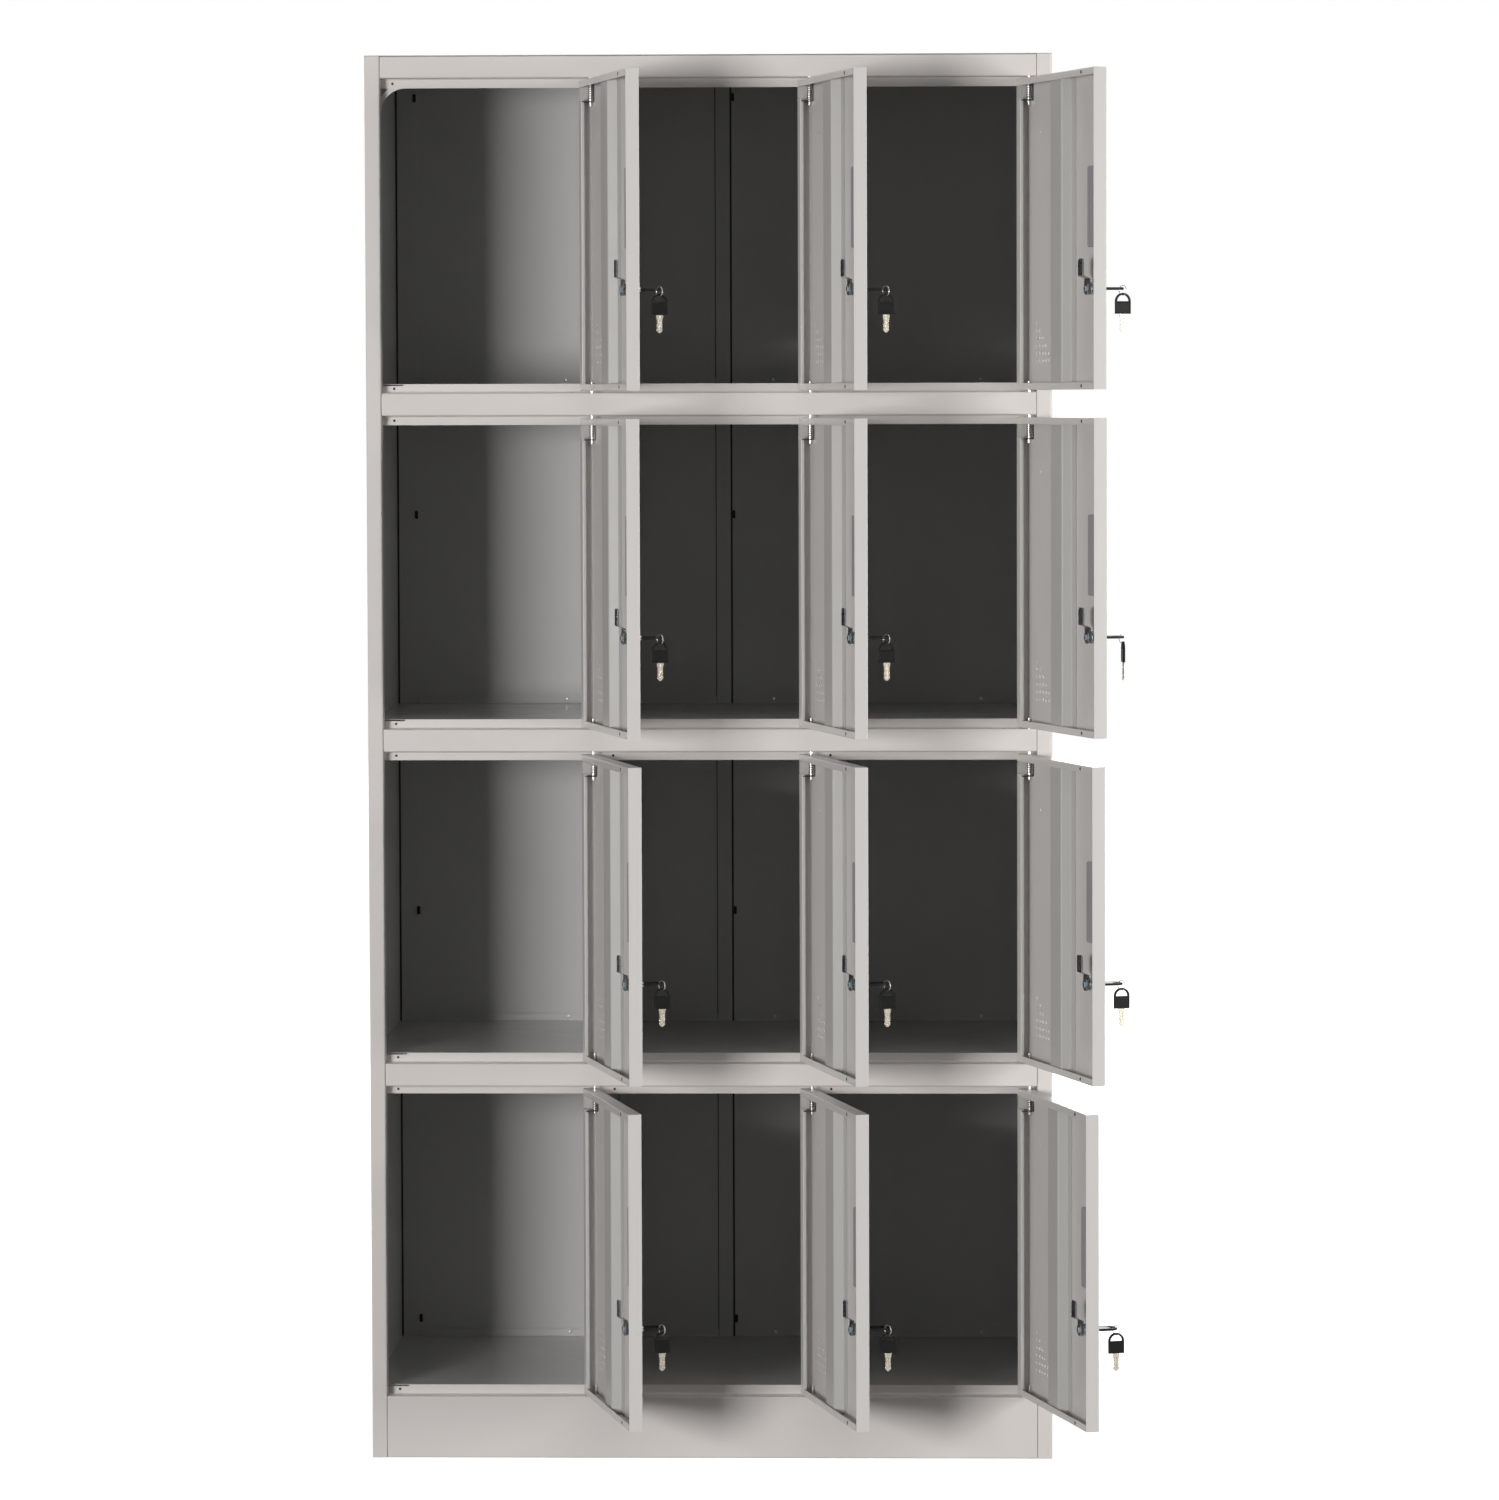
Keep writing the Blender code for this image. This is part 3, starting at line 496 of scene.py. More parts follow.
def circle(radius, sides):
    points = []
    for step in range(sides):
        angle = 2 * math.pi * step / sides
        points.append((radius * math.cos(angle), radius * math.sin(angle)))
    return points


def rounded_box(width, height, radius):
    """A rounded rectangle about the origin."""
    points = []
    for corner, (sx, sy) in enumerate(((1, 1), (-1, 1), (-1, -1), (1, -1))):
        centre = (sx * (width / 2 - radius), sy * (height / 2 - radius))
        for step in range(BOX_CORNER_STEPS + 1):
            angle = math.pi / 2 * (corner + step / BOX_CORNER_STEPS)
            points.append((centre[0] + radius * math.cos(angle), centre[1] + radius * math.sin(angle)))
    return points


def turned(name, profile, sides=TURNED_SIDES, centre=(0.0, 0.0)):
    """A turned part about the Y axis, from pairs of depth and radius."""
    loops = []
    for depth, radius in profile:
        loops.append([(centre[0] + x, depth, centre[1] + z) for x, z in circle(radius, sides)])
    return lofted(name, loops)


def upright_pin(name, low, high, radius):
    """A pin about the Z axis with chamfered ends."""
    levels = ((low, radius - PIN_CHAMFER), (low + PIN_CHAMFER, radius), (high - PIN_CHAMFER, radius),
              (high, radius - PIN_CHAMFER))
    return lofted(name, [[(x, y, level) for x, y in circle(r, PIN_SIDES)] for level, r in levels])


def tube(name, path, radius):
    """A wire of one radius along a path."""
    points = [Vector(point) for point in path]
    side = Vector((0, 0, 1))
    loops = []
    for here, point in enumerate(points):
        ahead = points[min(here + 1, len(points) - 1)] - points[max(here - 1, 0)]
        ahead.normalize()
        side = (side - ahead * side.dot(ahead)).normalized()
        other = ahead.cross(side)
        loops.append([point + side * x + other * y for x, y in circle(radius, TUBE_SIDES)])
    return lofted(name, loops)


def rounded(outline, radius):
    """An open outline with its corners rounded."""
    points = [Vector(outline[0])]
    for before, corner, after in zip(outline, outline[1:], outline[2:]):
        corner = Vector(corner)
        start = corner + (Vector(before) - corner).normalized() * radius
        end = corner + (Vector(after) - corner).normalized() * radius
        for step in range(BEND_STEPS + 1):
            share = step / BEND_STEPS
            points.append(start * (1 - share) ** 2 + corner * 2 * share * (1 - share) + end * share ** 2)
    points.append(Vector(outline[-1]))
    return points


def beside(points, thickness):
    """The same outline moved to its left, mitred."""
    moved = []
    for here, point in enumerate(points):
        normals = []
        for a, b in ((here - 1, here), (here, here + 1)):
            if 0 <= a and b < len(points):
                step = (points[b] - points[a]).normalized()
                normals.append(Vector((-step.y, step.x)))
        total = normals[0] + normals[-1]
        moved.append(point + total * thickness / (1 + normals[0].dot(normals[-1])))
    return moved


def sheet(name, outline, along, start, end, thickness=SHEET):
    """A folded sheet: an outline with rounded folds, swept along X or Z."""
    near = rounded(outline, DOOR_BEND)
    far = beside(near, thickness)
    loop = near + far[::-1]
    bm = bmesh.new()
    ends = []
    for place in (start, end):
        if along == "X":
            ends.append([bm.verts.new((place, *point)) for point in loop])
        else:
            ends.append([bm.verts.new((*point, place)) for point in loop])
    count = len(loop)
    for here in range(count):
        after = (here + 1) % count
        bm.faces.new((ends[0][here], ends[0][after], ends[1][after], ends[1][here]))
    for cap in ends:
        for here in range(len(near) - 1):
            bm.faces.new((cap[here], cap[here + 1], cap[count - 2 - here], cap[count - 1 - here]))
    return finished(name, bm)


def joined(name, meshes):
    bm = bmesh.new()
    for mesh in meshes:
        bm.from_mesh(mesh)
    return finished(name, bm)


def box_mesh(name, low, high):
    middle = (Vector(low) + Vector(high)) / 2
    size = Vector(high) - Vector(low)
    loops = []
    for z in (-size.z / 2, size.z / 2):
        corners = ((-1, -1), (1, -1), (1, 1), (-1, 1))
        loops.append([middle + Vector((sx * size.x / 2, sy * size.y / 2, z)) for sx, sy in corners])
    return lofted(name, loops)


def scratch(name, mesh):
    made = bpy.data.objects.new(name, mesh)
    bpy.context.scene.collection.objects.link(made)
    return made


def evaluated(made, name):
    """The mesh that an object's modifiers give. The object is removed."""
    bpy.context.view_layer.update()
    ready = made.evaluated_get(bpy.context.evaluated_depsgraph_get())
    mesh = bpy.data.meshes.new_from_object(ready)
    mesh.name = name
    bpy.data.objects.remove(made, do_unlink=True)
    mesh.shade_smooth()
    mesh.set_sharp_from_angle(angle=SHARP_FROM)
    return mesh


def carved(mesh, cutters):
    """A mesh with holes cut in it."""
    body = scratch("body", mesh)
    tool = scratch("tool", joined("tool", cutters))
    step = body.modifiers.new("cut", "BOOLEAN")
    step.operation = "DIFFERENCE"
    step.solver = "EXACT"
    step.object = tool
    done = evaluated(body, mesh.name)
    bpy.data.objects.remove(tool, do_unlink=True)
    return done


def plate(name, outlines, thickness, edge):
    """A flat plate in the XY plane with rounded edges: an outline and any holes in it."""
    curve = bpy.data.curves.new(name, "CURVE")
    curve.dimensions = "2D"
    curve.fill_mode = "BOTH"
    curve.extrude = thickness / 2 - edge
    curve.bevel_depth = edge
    curve.bevel_resolution = EDGE_STEPS
    curve.offset = -edge
    for outline in outlines:
        spline = curve.splines.new("POLY")
        spline.points.add(len(outline) - 1)
        for point, (x, y) in zip(spline.points, outline):
            point.co = (x, y, 0, 1)
        spline.use_cyclic_u = True
    return evaluated(scratch(name, curve), name)


def placed(mesh, *turns):
    for turn in turns:
        mesh.transform(turn)
    return mesh


def shift(x, y, z):
    return Matrix.Translation((x, y, z))


# The leaf

def hole(x, z, radius, start=FACE - OVERRUN, end=FACE + OVERRUN):
    return turned("hole", ((start, radius), (end, radius)), VENT_SIDES, (x, z))


def leaf_holes():
    holes = [hole(HINGE_X - PEEP_ACROSS, PEEP_UP, PEEP_RADIUS)]
    for row, count in enumerate(VENT_ROWS):
        for column in range(count):
            x = HINGE_X - VENT_ACROSS - column * VENT_STEP_ACROSS
            holes.append(hole(x, VENT_UP + row * VENT_STEP_UP, VENT_RADIUS))
    low = (FREE_X + PULL_FROM_FREE_EDGE + PULL_EDGE, FACE - OVERRUN, PULL_BOTTOM + PULL_EDGE)
    high = (FREE_X + PULL_FROM_FREE_EDGE + PULL_WIDTH - PULL_EDGE, FACE + OVERRUN,
            PULL_BOTTOM + PULL_HEIGHT - PULL_EDGE)
    holes.append(box_mesh("pull_opening", low, high))
    inner = LIP - HINGE_LIP_RETURN - OVERRUN
    for low_z, high_z in ((LEAF_HEIGHT - BRACKET_DROP, LEAF_HEIGHT + OVERRUN), (-OVERRUN, DOOR_LIP)):
        low = (LIP_END_X - OVERRUN, inner, low_z)
        holes.append(box_mesh("lip_relief", low, (HINGE_X - DOOR_BEND, LIP + OVERRUN, high_z)))
    return holes


def leaf_mesh():
    outline = [(FREE_X, LIP), (FREE_X, FACE), (HINGE_X, FACE), (HINGE_X, LIP), (LIP_END_X, LIP),
               (LIP_END_X, LIP - HINGE_LIP_RETURN)]
    parts = [carved(sheet("leaf", outline, "Z", 0, LEAF_HEIGHT), leaf_holes())]
    start, end = FREE_X + SHEET - SKIN, HINGE_X - SHEET + SKIN
    edge = FACE + SHEET - SKIN
    top = [(LIP, LEAF_HEIGHT - DOOR_LIP), (LIP, LEAF_HEIGHT), (edge, LEAF_HEIGHT)]
    bottom = [(edge, 0), (LIP, 0), (LIP, DOOR_LIP)]
    for outline, level in ((top, LEAF_HEIGHT - DOOR_LIP / 2), (bottom, DOOR_LIP / 2)):
        screw_hole = hole(HINGE_X - LIP_HOLE_ACROSS, level, LIP_HOLE_RADIUS, LIP - OVERRUN, LIP + OVERRUN)
        parts.append(carved(sheet("flange", outline, "X", start, end), [screw_hole]))
    return joined("leaf", parts)


def lip_hole_shade_mesh():
    """Small dark discs in the holes of the top and bottom lips: painted shade where the holes look dark."""
    profile = (
        (LIP - SHEET, DOOR_HOLE_SHADE_RADIUS), (LIP, DOOR_HOLE_SHADE_RADIUS), (LIP + SKIN, DOOR_HOLE_SHADE_RADIUS - SKIN),
    )
    plugs = []
    for level in (LEAF_HEIGHT - DOOR_LIP / 2, DOOR_LIP / 2):
        plugs.append(turned("lip_plug", profile, VENT_SIDES, (HINGE_X - LIP_HOLE_ACROSS, level)))
    return joined("lip_plugs", plugs)


def stiffener_mesh():
    foot = FACE + SHEET + SKIN
    top = FACE + STIFFENER_RISE - SHEET
    outline = [
        (HINGE_X - STIFFENER_BASE_END - STIFFENER_FOOT, foot),
        (HINGE_X - STIFFENER_BASE_END, foot),
        (HINGE_X - STIFFENER_TOP_END, top),
        (HINGE_X - STIFFENER_TOP_START, top),
        (HINGE_X - STIFFENER_BASE_START, foot),
        (HINGE_X - STIFFENER_BASE_START + STIFFENER_FOOT, foot),
    ]
    return sheet("stiffener", outline, "Z", STIFFENER_END_GAP, LEAF_HEIGHT - STIFFENER_END_GAP)


def pins_mesh():
    top = upright_pin("top_pin", LEAF_HEIGHT - TOP_PIN_DROP, LEAF_HEIGHT + TOP_PIN_TOP, PIN_RADIUS)
    bottom = upright_pin("bottom_pin", -BOTTOM_PIN_DROP, BOTTOM_PIN_RISE, PIN_RADIUS)
    return joined("pins", [top, bottom])


def spring_mesh():
    low = LEAF_HEIGHT - BRACKET_DROP + SPRING_END
    high = LEAF_HEIGHT - SHEET - SPRING_WIRE
    count = SPRING_TURNS * SPRING_STEPS
    path = []
    for step in range(count + 1):
        angle = 2 * math.pi * step / SPRING_STEPS
        level = low + (high - low) * step / count
        path.append((SPRING_RADIUS * math.cos(angle), SPRING_RADIUS * math.sin(angle), level))
    return tube("spring", path, SPRING_WIRE)


def bracket_mesh():
    """An angle round the top pin: a web on the face sheet and a foot that carries the pin."""
    level = LEAF_HEIGHT - BRACKET_DROP - BRACKET_SINK
    web = FACE + SHEET + SKIN
    outline = [(LIP - SHEET - SKIN, level - BRACKET_THICKNESS), (web, level - BRACKET_THICKNESS),
               (web, LEAF_HEIGHT - SHEET - SKIN)]
    return sheet("bracket", outline, "X", HINGE_X - BRACKET_LENGTH, HINGE_X - SHEET - SKIN,
                 thickness=-BRACKET_THICKNESS)


def pull_mesh():
    """A moulded plate with a shallow dish on its outer side."""
    cx = FREE_X + PULL_FROM_FREE_EDGE + PULL_WIDTH / 2
    cz = PULL_BOTTOM + PULL_HEIGHT / 2
    outside = FACE - PULL_PROUD
    inside = FACE + PULL_DEPTH
    loops = []
    for depth, inset in (
        (inside, PULL_EDGE), (inside - PULL_EDGE, 0), (outside + PULL_EDGE, 0), (outside, PULL_EDGE),
        (outside, DISH_MARGIN - PULL_EDGE), (outside + PULL_EDGE, DISH_MARGIN),
        (outside + DISH_DEPTH - PULL_EDGE, DISH_MARGIN + DISH_SLOPE),
        (outside + DISH_DEPTH, DISH_MARGIN + DISH_SLOPE + PULL_EDGE * 2),
    ):
        corner = max(PULL_CORNER - inset / 2, PULL_EDGE)
        shape = rounded_box(PULL_WIDTH - 2 * inset, PULL_HEIGHT - 2 * inset, corner)
        loops.append([(cx + x, depth, cz + z) for x, z in shape])
    return lofted("pull", loops)


def barrel_mesh():
    """The lock's barrel with its rose and nut. Zero is the leaf's outer face, on the lock's axis."""
    profile = (
        (BARREL_LENGTH, BORE_RADIUS), (BARREL_LENGTH, BARREL_RADIUS - BARREL_RIM),
        (BARREL_LENGTH - BARREL_RIM, BARREL_RADIUS), (0.0, BARREL_RADIUS), (0.0, LOCK_ROSE_RADIUS),
        (-LOCK_ROSE_PROUD + BARREL_RIM, LOCK_ROSE_RADIUS), (-LOCK_ROSE_PROUD, LOCK_ROSE_RADIUS - BARREL_RIM),
        (-LOCK_ROSE_PROUD, BORE_RADIUS + BARREL_RIM), (-LOCK_ROSE_PROUD + BARREL_RIM, BORE_RADIUS),
    )
    bm = bmesh.new()
    loft(bm, [[(x, y, z) for x, z in circle(r, TURNED_SIDES)] for y, r in profile], closed=True)
    barrel = finished("barrel", bm)
    nut = turned("nut", (
        (NUT_START, NUT_RADIUS - NUT_CHAMFER), (NUT_START + NUT_CHAMFER / 2, NUT_RADIUS),
        (NUT_END - NUT_CHAMFER / 2, NUT_RADIUS), (NUT_END, NUT_RADIUS - NUT_CHAMFER)), HEXAGON)
    return joined("barrel", [barrel, nut])


# The lock's moving pieces, on the lock's own axis: zero is the outer face of the leaf

def plug_mesh():
    return turned("plug", (
        (-PLUG_PROUD, PLUG_RADIUS - PLUG_RIM), (-PLUG_PROUD + PLUG_RIM, PLUG_RADIUS),
        (CAM_ROOT_INSET - PLUG_RIM, PLUG_RADIUS), (CAM_ROOT_INSET + PLUG_RIM, PLUG_RADIUS - PLUG_RIM)))


def cam_mesh():
    """The crank cam, pointing up, with a rounded tip and root."""
    half = CAM_WIDTH / 2
    tip = half * CAM_TIP_SHARE
    stations = []
    for step in range(CAM_STEPS + 1):
        angle = math.pi / 2 * step / CAM_STEPS
        stations.append((-CAM_ROOT_DROP + half * (1 - math.cos(angle)) / 2, half * math.sin(angle)))
    stations += [(CAM_CRANK_START, half), (CAM_CRANK_END, half)]
    for step in range(CAM_STEPS + 1):
        angle = math.pi / 2 * step / CAM_STEPS
        width = half - tip + tip * math.cos(angle)
        stations.append((CAM_REACH - tip * (1 - math.sin(angle)), width))
    loops = []
    for z, width in stations:
        share = min(max((z - CAM_CRANK_START) / (CAM_CRANK_END - CAM_CRANK_START), 0), 1)
        y = CAM_ROOT_INSET + (CAM_TIP_INSET - CAM_ROOT_INSET) * share
        width = max(width, SKIN)
        far = y + CAM_THICKNESS
        loops.append([(-width, y, z), (width, y, z), (width, far, z), (-width, far, z)])
    made = scratch("cam", lofted("cam", loops))
    soft = made.modifiers.new("edge", "BEVEL")
    soft.width = CAM_EDGE
    soft.segments = CAM_EDGE_STEPS
    soft.limit_method = "ANGLE"
    return evaluated(made, "cam")


def cam_screw_mesh():
    start = CAM_ROOT_INSET + CAM_THICKNESS
    washer = turned("washer", ((start, BARREL_RADIUS - SKIN), (start + SKIN, BARREL_RADIUS),
                               (start + SHEET, BARREL_RADIUS), (start + SHEET + SKIN, BARREL_RADIUS - SKIN)))
    base = start + SHEET
    profile = [(base, CAM_SCREW_RADIUS)]
    profile += [(base + CAM_SCREW_HEIGHT * up, CAM_SCREW_RADIUS * out) for up, out in CAM_SCREW_SHARES]
    head = turned("head", profile, HEXAGON)
    return joined("cam_screw", [washer, head])


def arc(radius, middle):
    points = []
    for step in range(KEY_ARCH_STEPS + 1):
        angle = math.pi * step / KEY_ARCH_STEPS
        points.append((radius * math.cos(angle), middle + radius * math.sin(angle)))
    return points


def bow_mesh(name):
    """A moulded key head: a thinner panel within a raised rim, with a half-round eye."""
    middle = KEY_LENGTH - ARCH_RADIUS
    outer = [(ARCH_RADIUS, 0)] + arc(ARCH_RADIUS, middle) + [(-ARCH_RADIUS, 0)]
    eye = arc(ARCH_RADIUS - KEY_BAR, middle)
    inner = [(ARCH_RADIUS - KEY_RIM, KEY_RIM), (ARCH_RADIUS - KEY_RIM, middle - KEY_RIM),
             (-ARCH_RADIUS + KEY_RIM, middle - KEY_RIM), (-ARCH_RADIUS + KEY_RIM, KEY_RIM)]
    rim = plate(name, [outer, eye, inner], KEY_THICKNESS, KEY_EDGE)
    panel = plate(name, [[(x * PANEL_SPREAD, y) for x, y in inner]], KEY_PANEL_THICKNESS, KEY_EDGE / 2)
    return joined(name, [rim, panel])


def blade_mesh(name):
    """A blade that hangs from the X axis, with a shoulder, bitted edges and a groove down its middle."""
    half = BLADE_WIDTH / 2
    shoulder = SHOULDER_WIDTH / 2
    side = [(shoulder, 0.0), (shoulder, -SHOULDER_LENGTH), (half, -SHOULDER_LENGTH)]
    for drop, depth in zip(BLADE_NOTCHES, NOTCH_DEPTHS):
        side += [(half, -drop + NOTCH_HALF), (half - depth, -drop + NOTCH_FLAT_HALF),
                 (half - depth, -drop - NOTCH_FLAT_HALF), (half, -drop - NOTCH_HALF)]
    side += [(half, -BLADE_LENGTH + BLADE_TIP), (NOTCH_HALF, -BLADE_LENGTH)]
    outline = side + [(-x, y) for x, y in side[::-1]]
    groove = [(-GROOVE_WIDTH / 2, -SHOULDER_LENGTH / 2), (-GROOVE_WIDTH / 2, -BLADE_LENGTH + BLADE_TIP),
              (GROOVE_WIDTH / 2, -BLADE_LENGTH + BLADE_TIP), (GROOVE_WIDTH / 2, -SHOULDER_LENGTH / 2)]
    shell = plate(name, [outline, groove], BLADE_THICKNESS, BLADE_EDGE)
    wide = [(x * WEB_SPREAD[0], y * WEB_SPREAD[1]) for x, y in groove]
    web = plate(name, [wide], BLADE_THICKNESS / 2, BLADE_EDGE)
    return joined(name, [shell, web])


def key_head_mesh():
    turn = Matrix.Rotation(math.pi, 4, "Z")
    return placed(bow_mesh("key_head"), turn, shift(0, HEAD_BASE, 0))


def collar_mesh():
    return turned("collar", ((HEAD_BASE - SKIN, COLLAR_RADIUS), (-PLUG_PROUD - SKIN, COLLAR_RADIUS),
                             (-PLUG_PROUD + SKIN, COLLAR_RADIUS - SKIN)))


def spare_bow_mesh():
    return placed(bow_mesh("spare_bow"), UPRIGHT, SIDEWAYS, shift(0, 0, SPARE_TOP - KEY_LENGTH))


def spare_blade_mesh():
    return placed(blade_mesh("spare_blade"), UPRIGHT, SIDEWAYS, shift(0, 0, SPARE_TOP - KEY_LENGTH))


def ring_mesh():
    """A split ring of flat-lying turns in the XZ plane, then turned about the vertical."""
    count = RING_TURNS * RING_STEPS
    path = []
    for step in range(count + 1):
        angle = 2 * math.pi * step / RING_STEPS + RING_START
        lay = (step / count - 0.5) * 2 * RING_WIRE
        path.append((RING_RADIUS * math.cos(angle), lay, RING_RADIUS * math.sin(angle)))
    turn = Matrix.Rotation(math.pi / 2 - RING_TURN, 4, "Z")
    return placed(tube("ring", path, RING_WIRE), turn, shift(0, 0, RING_CENTRE))


# Camera, light and floor

def make_camera():
    data = bpy.data.cameras.new("camera")
    data.lens = CAMERA_LENS
    data.sensor_width = CAMERA_SENSOR
    data.sensor_fit = "AUTO"
    data.shift_x, data.shift_y = CAMERA_SHIFT
    data.clip_end = CAMERA_FAR
    made = bpy.data.objects.new("camera", data)
    bpy.context.scene.collection.objects.link(made)
    sin_yaw, cos_yaw = math.sin(CAMERA_YAW), math.cos(CAMERA_YAW)
    sin_pitch, cos_pitch = math.sin(CAMERA_PITCH), math.cos(CAMERA_PITCH)
    ahead = Vector((-sin_yaw * cos_pitch, cos_yaw * cos_pitch, -sin_pitch))
    level = Vector((cos_yaw, sin_yaw, 0))
    above = level.cross(ahead)
    sin_roll, cos_roll = math.sin(CAMERA_ROLL), math.cos(CAMERA_ROLL)
    right = level * cos_roll + above * sin_roll
    up = above * cos_roll - level * sin_roll
    turn = Matrix((right, up, -ahead)).transposed()
    made.matrix_world = Matrix.Translation(CAMERA_PLACE) @ turn.to_4x4()
    bpy.context.scene.camera = made


def make_lights():
    for name, (power, width, height, place, aim) in LIGHTS.items():
        data = bpy.data.lights.new(name, "AREA")
        data.shape = "RECTANGLE"
        data.size, data.size_y = width, height
        data.energy = power
        data.color = LIGHT_COLOUR
        made = bpy.data.objects.new(name, data)
        bpy.context.scene.collection.objects.link(made)
        toward = Vector(aim) - Vector(place)
        turn = toward.to_track_quat("-Z", "Y").to_matrix().to_4x4()
        made.matrix_world = Matrix.Translation(place) @ turn
        made.visible_camera = False


def make_surround():
    """White to the camera. The object is lit and mirrored dimly from the front, more from the sides."""
    world = bpy.data.worlds.new("surround")
    bpy.context.scene.world = world
    world.use_nodes = True
    tree = world.node_tree
    output = tree.nodes["World Output"]
    dim = tree.nodes["Background"]
    dim.inputs["Color"].default_value = (1, 1, 1, 1)
    coordinates = node(tree, "ShaderNodeTexCoord")
    split = node(tree, "ShaderNodeSeparateXYZ")
    tree.links.new(coordinates.outputs["Generated"], split.inputs["Vector"])
    path = node(tree, "ShaderNodeLightPath")
    strength = node(tree, "ShaderNodeMix")
    tree.links.new(path.outputs["Is Glossy Ray"], strength.inputs["Factor"])
    for cone, front, sides, socket in (
        (FRONT_CONE, SURROUND_FRONT, SURROUND_SIDES, "A"),
        (REFLECTED_CONE, REFLECTED_FRONT, REFLECTED_SIDES, "B"),
    ):
        fade = node(tree, "ShaderNodeMapRange")
        fade.inputs["From Min"].default_value, fade.inputs["From Max"].default_value = cone
        fade.inputs["To Min"].default_value = front
        fade.inputs["To Max"].default_value = sides
        tree.links.new(split.outputs["Y"], fade.inputs["Value"])
        tree.links.new(fade.outputs["Result"], strength.inputs[socket])
    tree.links.new(strength.outputs["Result"], dim.inputs["Strength"])
    white = node(tree, "ShaderNodeBackground", Strength=1.0)
    white.inputs["Color"].default_value = (1, 1, 1, 1)
    pick = node(tree, "ShaderNodeMixShader")
    tree.links.new(path.outputs["Is Camera Ray"], pick.inputs["Fac"])
    tree.links.new(dim.outputs["Background"], pick.inputs[1])
    tree.links.new(white.outputs["Background"], pick.inputs[2])
    tree.links.new(pick.outputs["Shader"], output.inputs["Surface"])


def make_floor():
    """A pale round floor that fades to white away from the object."""
    bm = bmesh.new()
    centre = bm.verts.new((0, 0, -FLOOR_DROP))
    rings = []
    for ring in range(1, FLOOR_RINGS + 1):
        radius = FLOOR_RADIUS * (ring / FLOOR_RINGS) ** 2
        rings.append([bm.verts.new((x, y, -FLOOR_DROP)) for x, y in circle(radius, FLOOR_SIDES)])
    for side in range(FLOOR_SIDES):
        after = (side + 1) % FLOOR_SIDES
        bm.faces.new((centre, rings[0][side], rings[0][after]))
        for near, far in zip(rings, rings[1:]):
            bm.faces.new((near[side], far[side], far[after], near[after]))
    made = bpy.data.objects.new("floor", finished("floor", bm))
    bpy.context.scene.collection.objects.link(made)
    material = look("floor_white")
    tree = material.node_tree
    shader = tree.nodes["Principled BSDF"]
    shader.inputs["Emission Color"].default_value = (1, 1, 1, 1)
    coordinates = node(tree, "ShaderNodeTexCoord")
    reach = node(tree, "ShaderNodeVectorMath", operation="LENGTH")
    tree.links.new(coordinates.outputs["Object"], reach.inputs[0])
    fade = node(tree, "ShaderNodeMapRange")
    fade.interpolation_type = "SMOOTHSTEP"
    fade.inputs["From Min"].default_value = FLOOR_NEAR
    fade.inputs["From Max"].default_value = FLOOR_FAR
    fade.inputs["To Min"].default_value = FLOOR_GLOW
    fade.inputs["To Max"].default_value = 1.0
    tree.links.new(reach.outputs["Value"], fade.inputs["Value"])
    tree.links.new(fade.outputs["Result"], shader.inputs["Emission Strength"])
    made.data.materials.append(material)
    made.visible_diffuse = False
    made.visible_glossy = False


# Putting the pieces on the frame

def put(name, mesh, material, body, place, replaces=None):
    """Place a piece that rides a body, and let it stand for that body's node if one is named."""
    made = bpy.data.objects.new(name, mesh)
    bpy.context.scene.collection.objects.link(made)
    if not mesh.materials:
        mesh.materials.append(material)
    made.matrix_world = place
    even = made.modifiers.new("even_shading", "WEIGHTED_NORMAL")
    even.keep_sharp = True
    even.weight = FLAT_WEIGHT
    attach(made, body)
    if replaces:
        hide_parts(replaces)


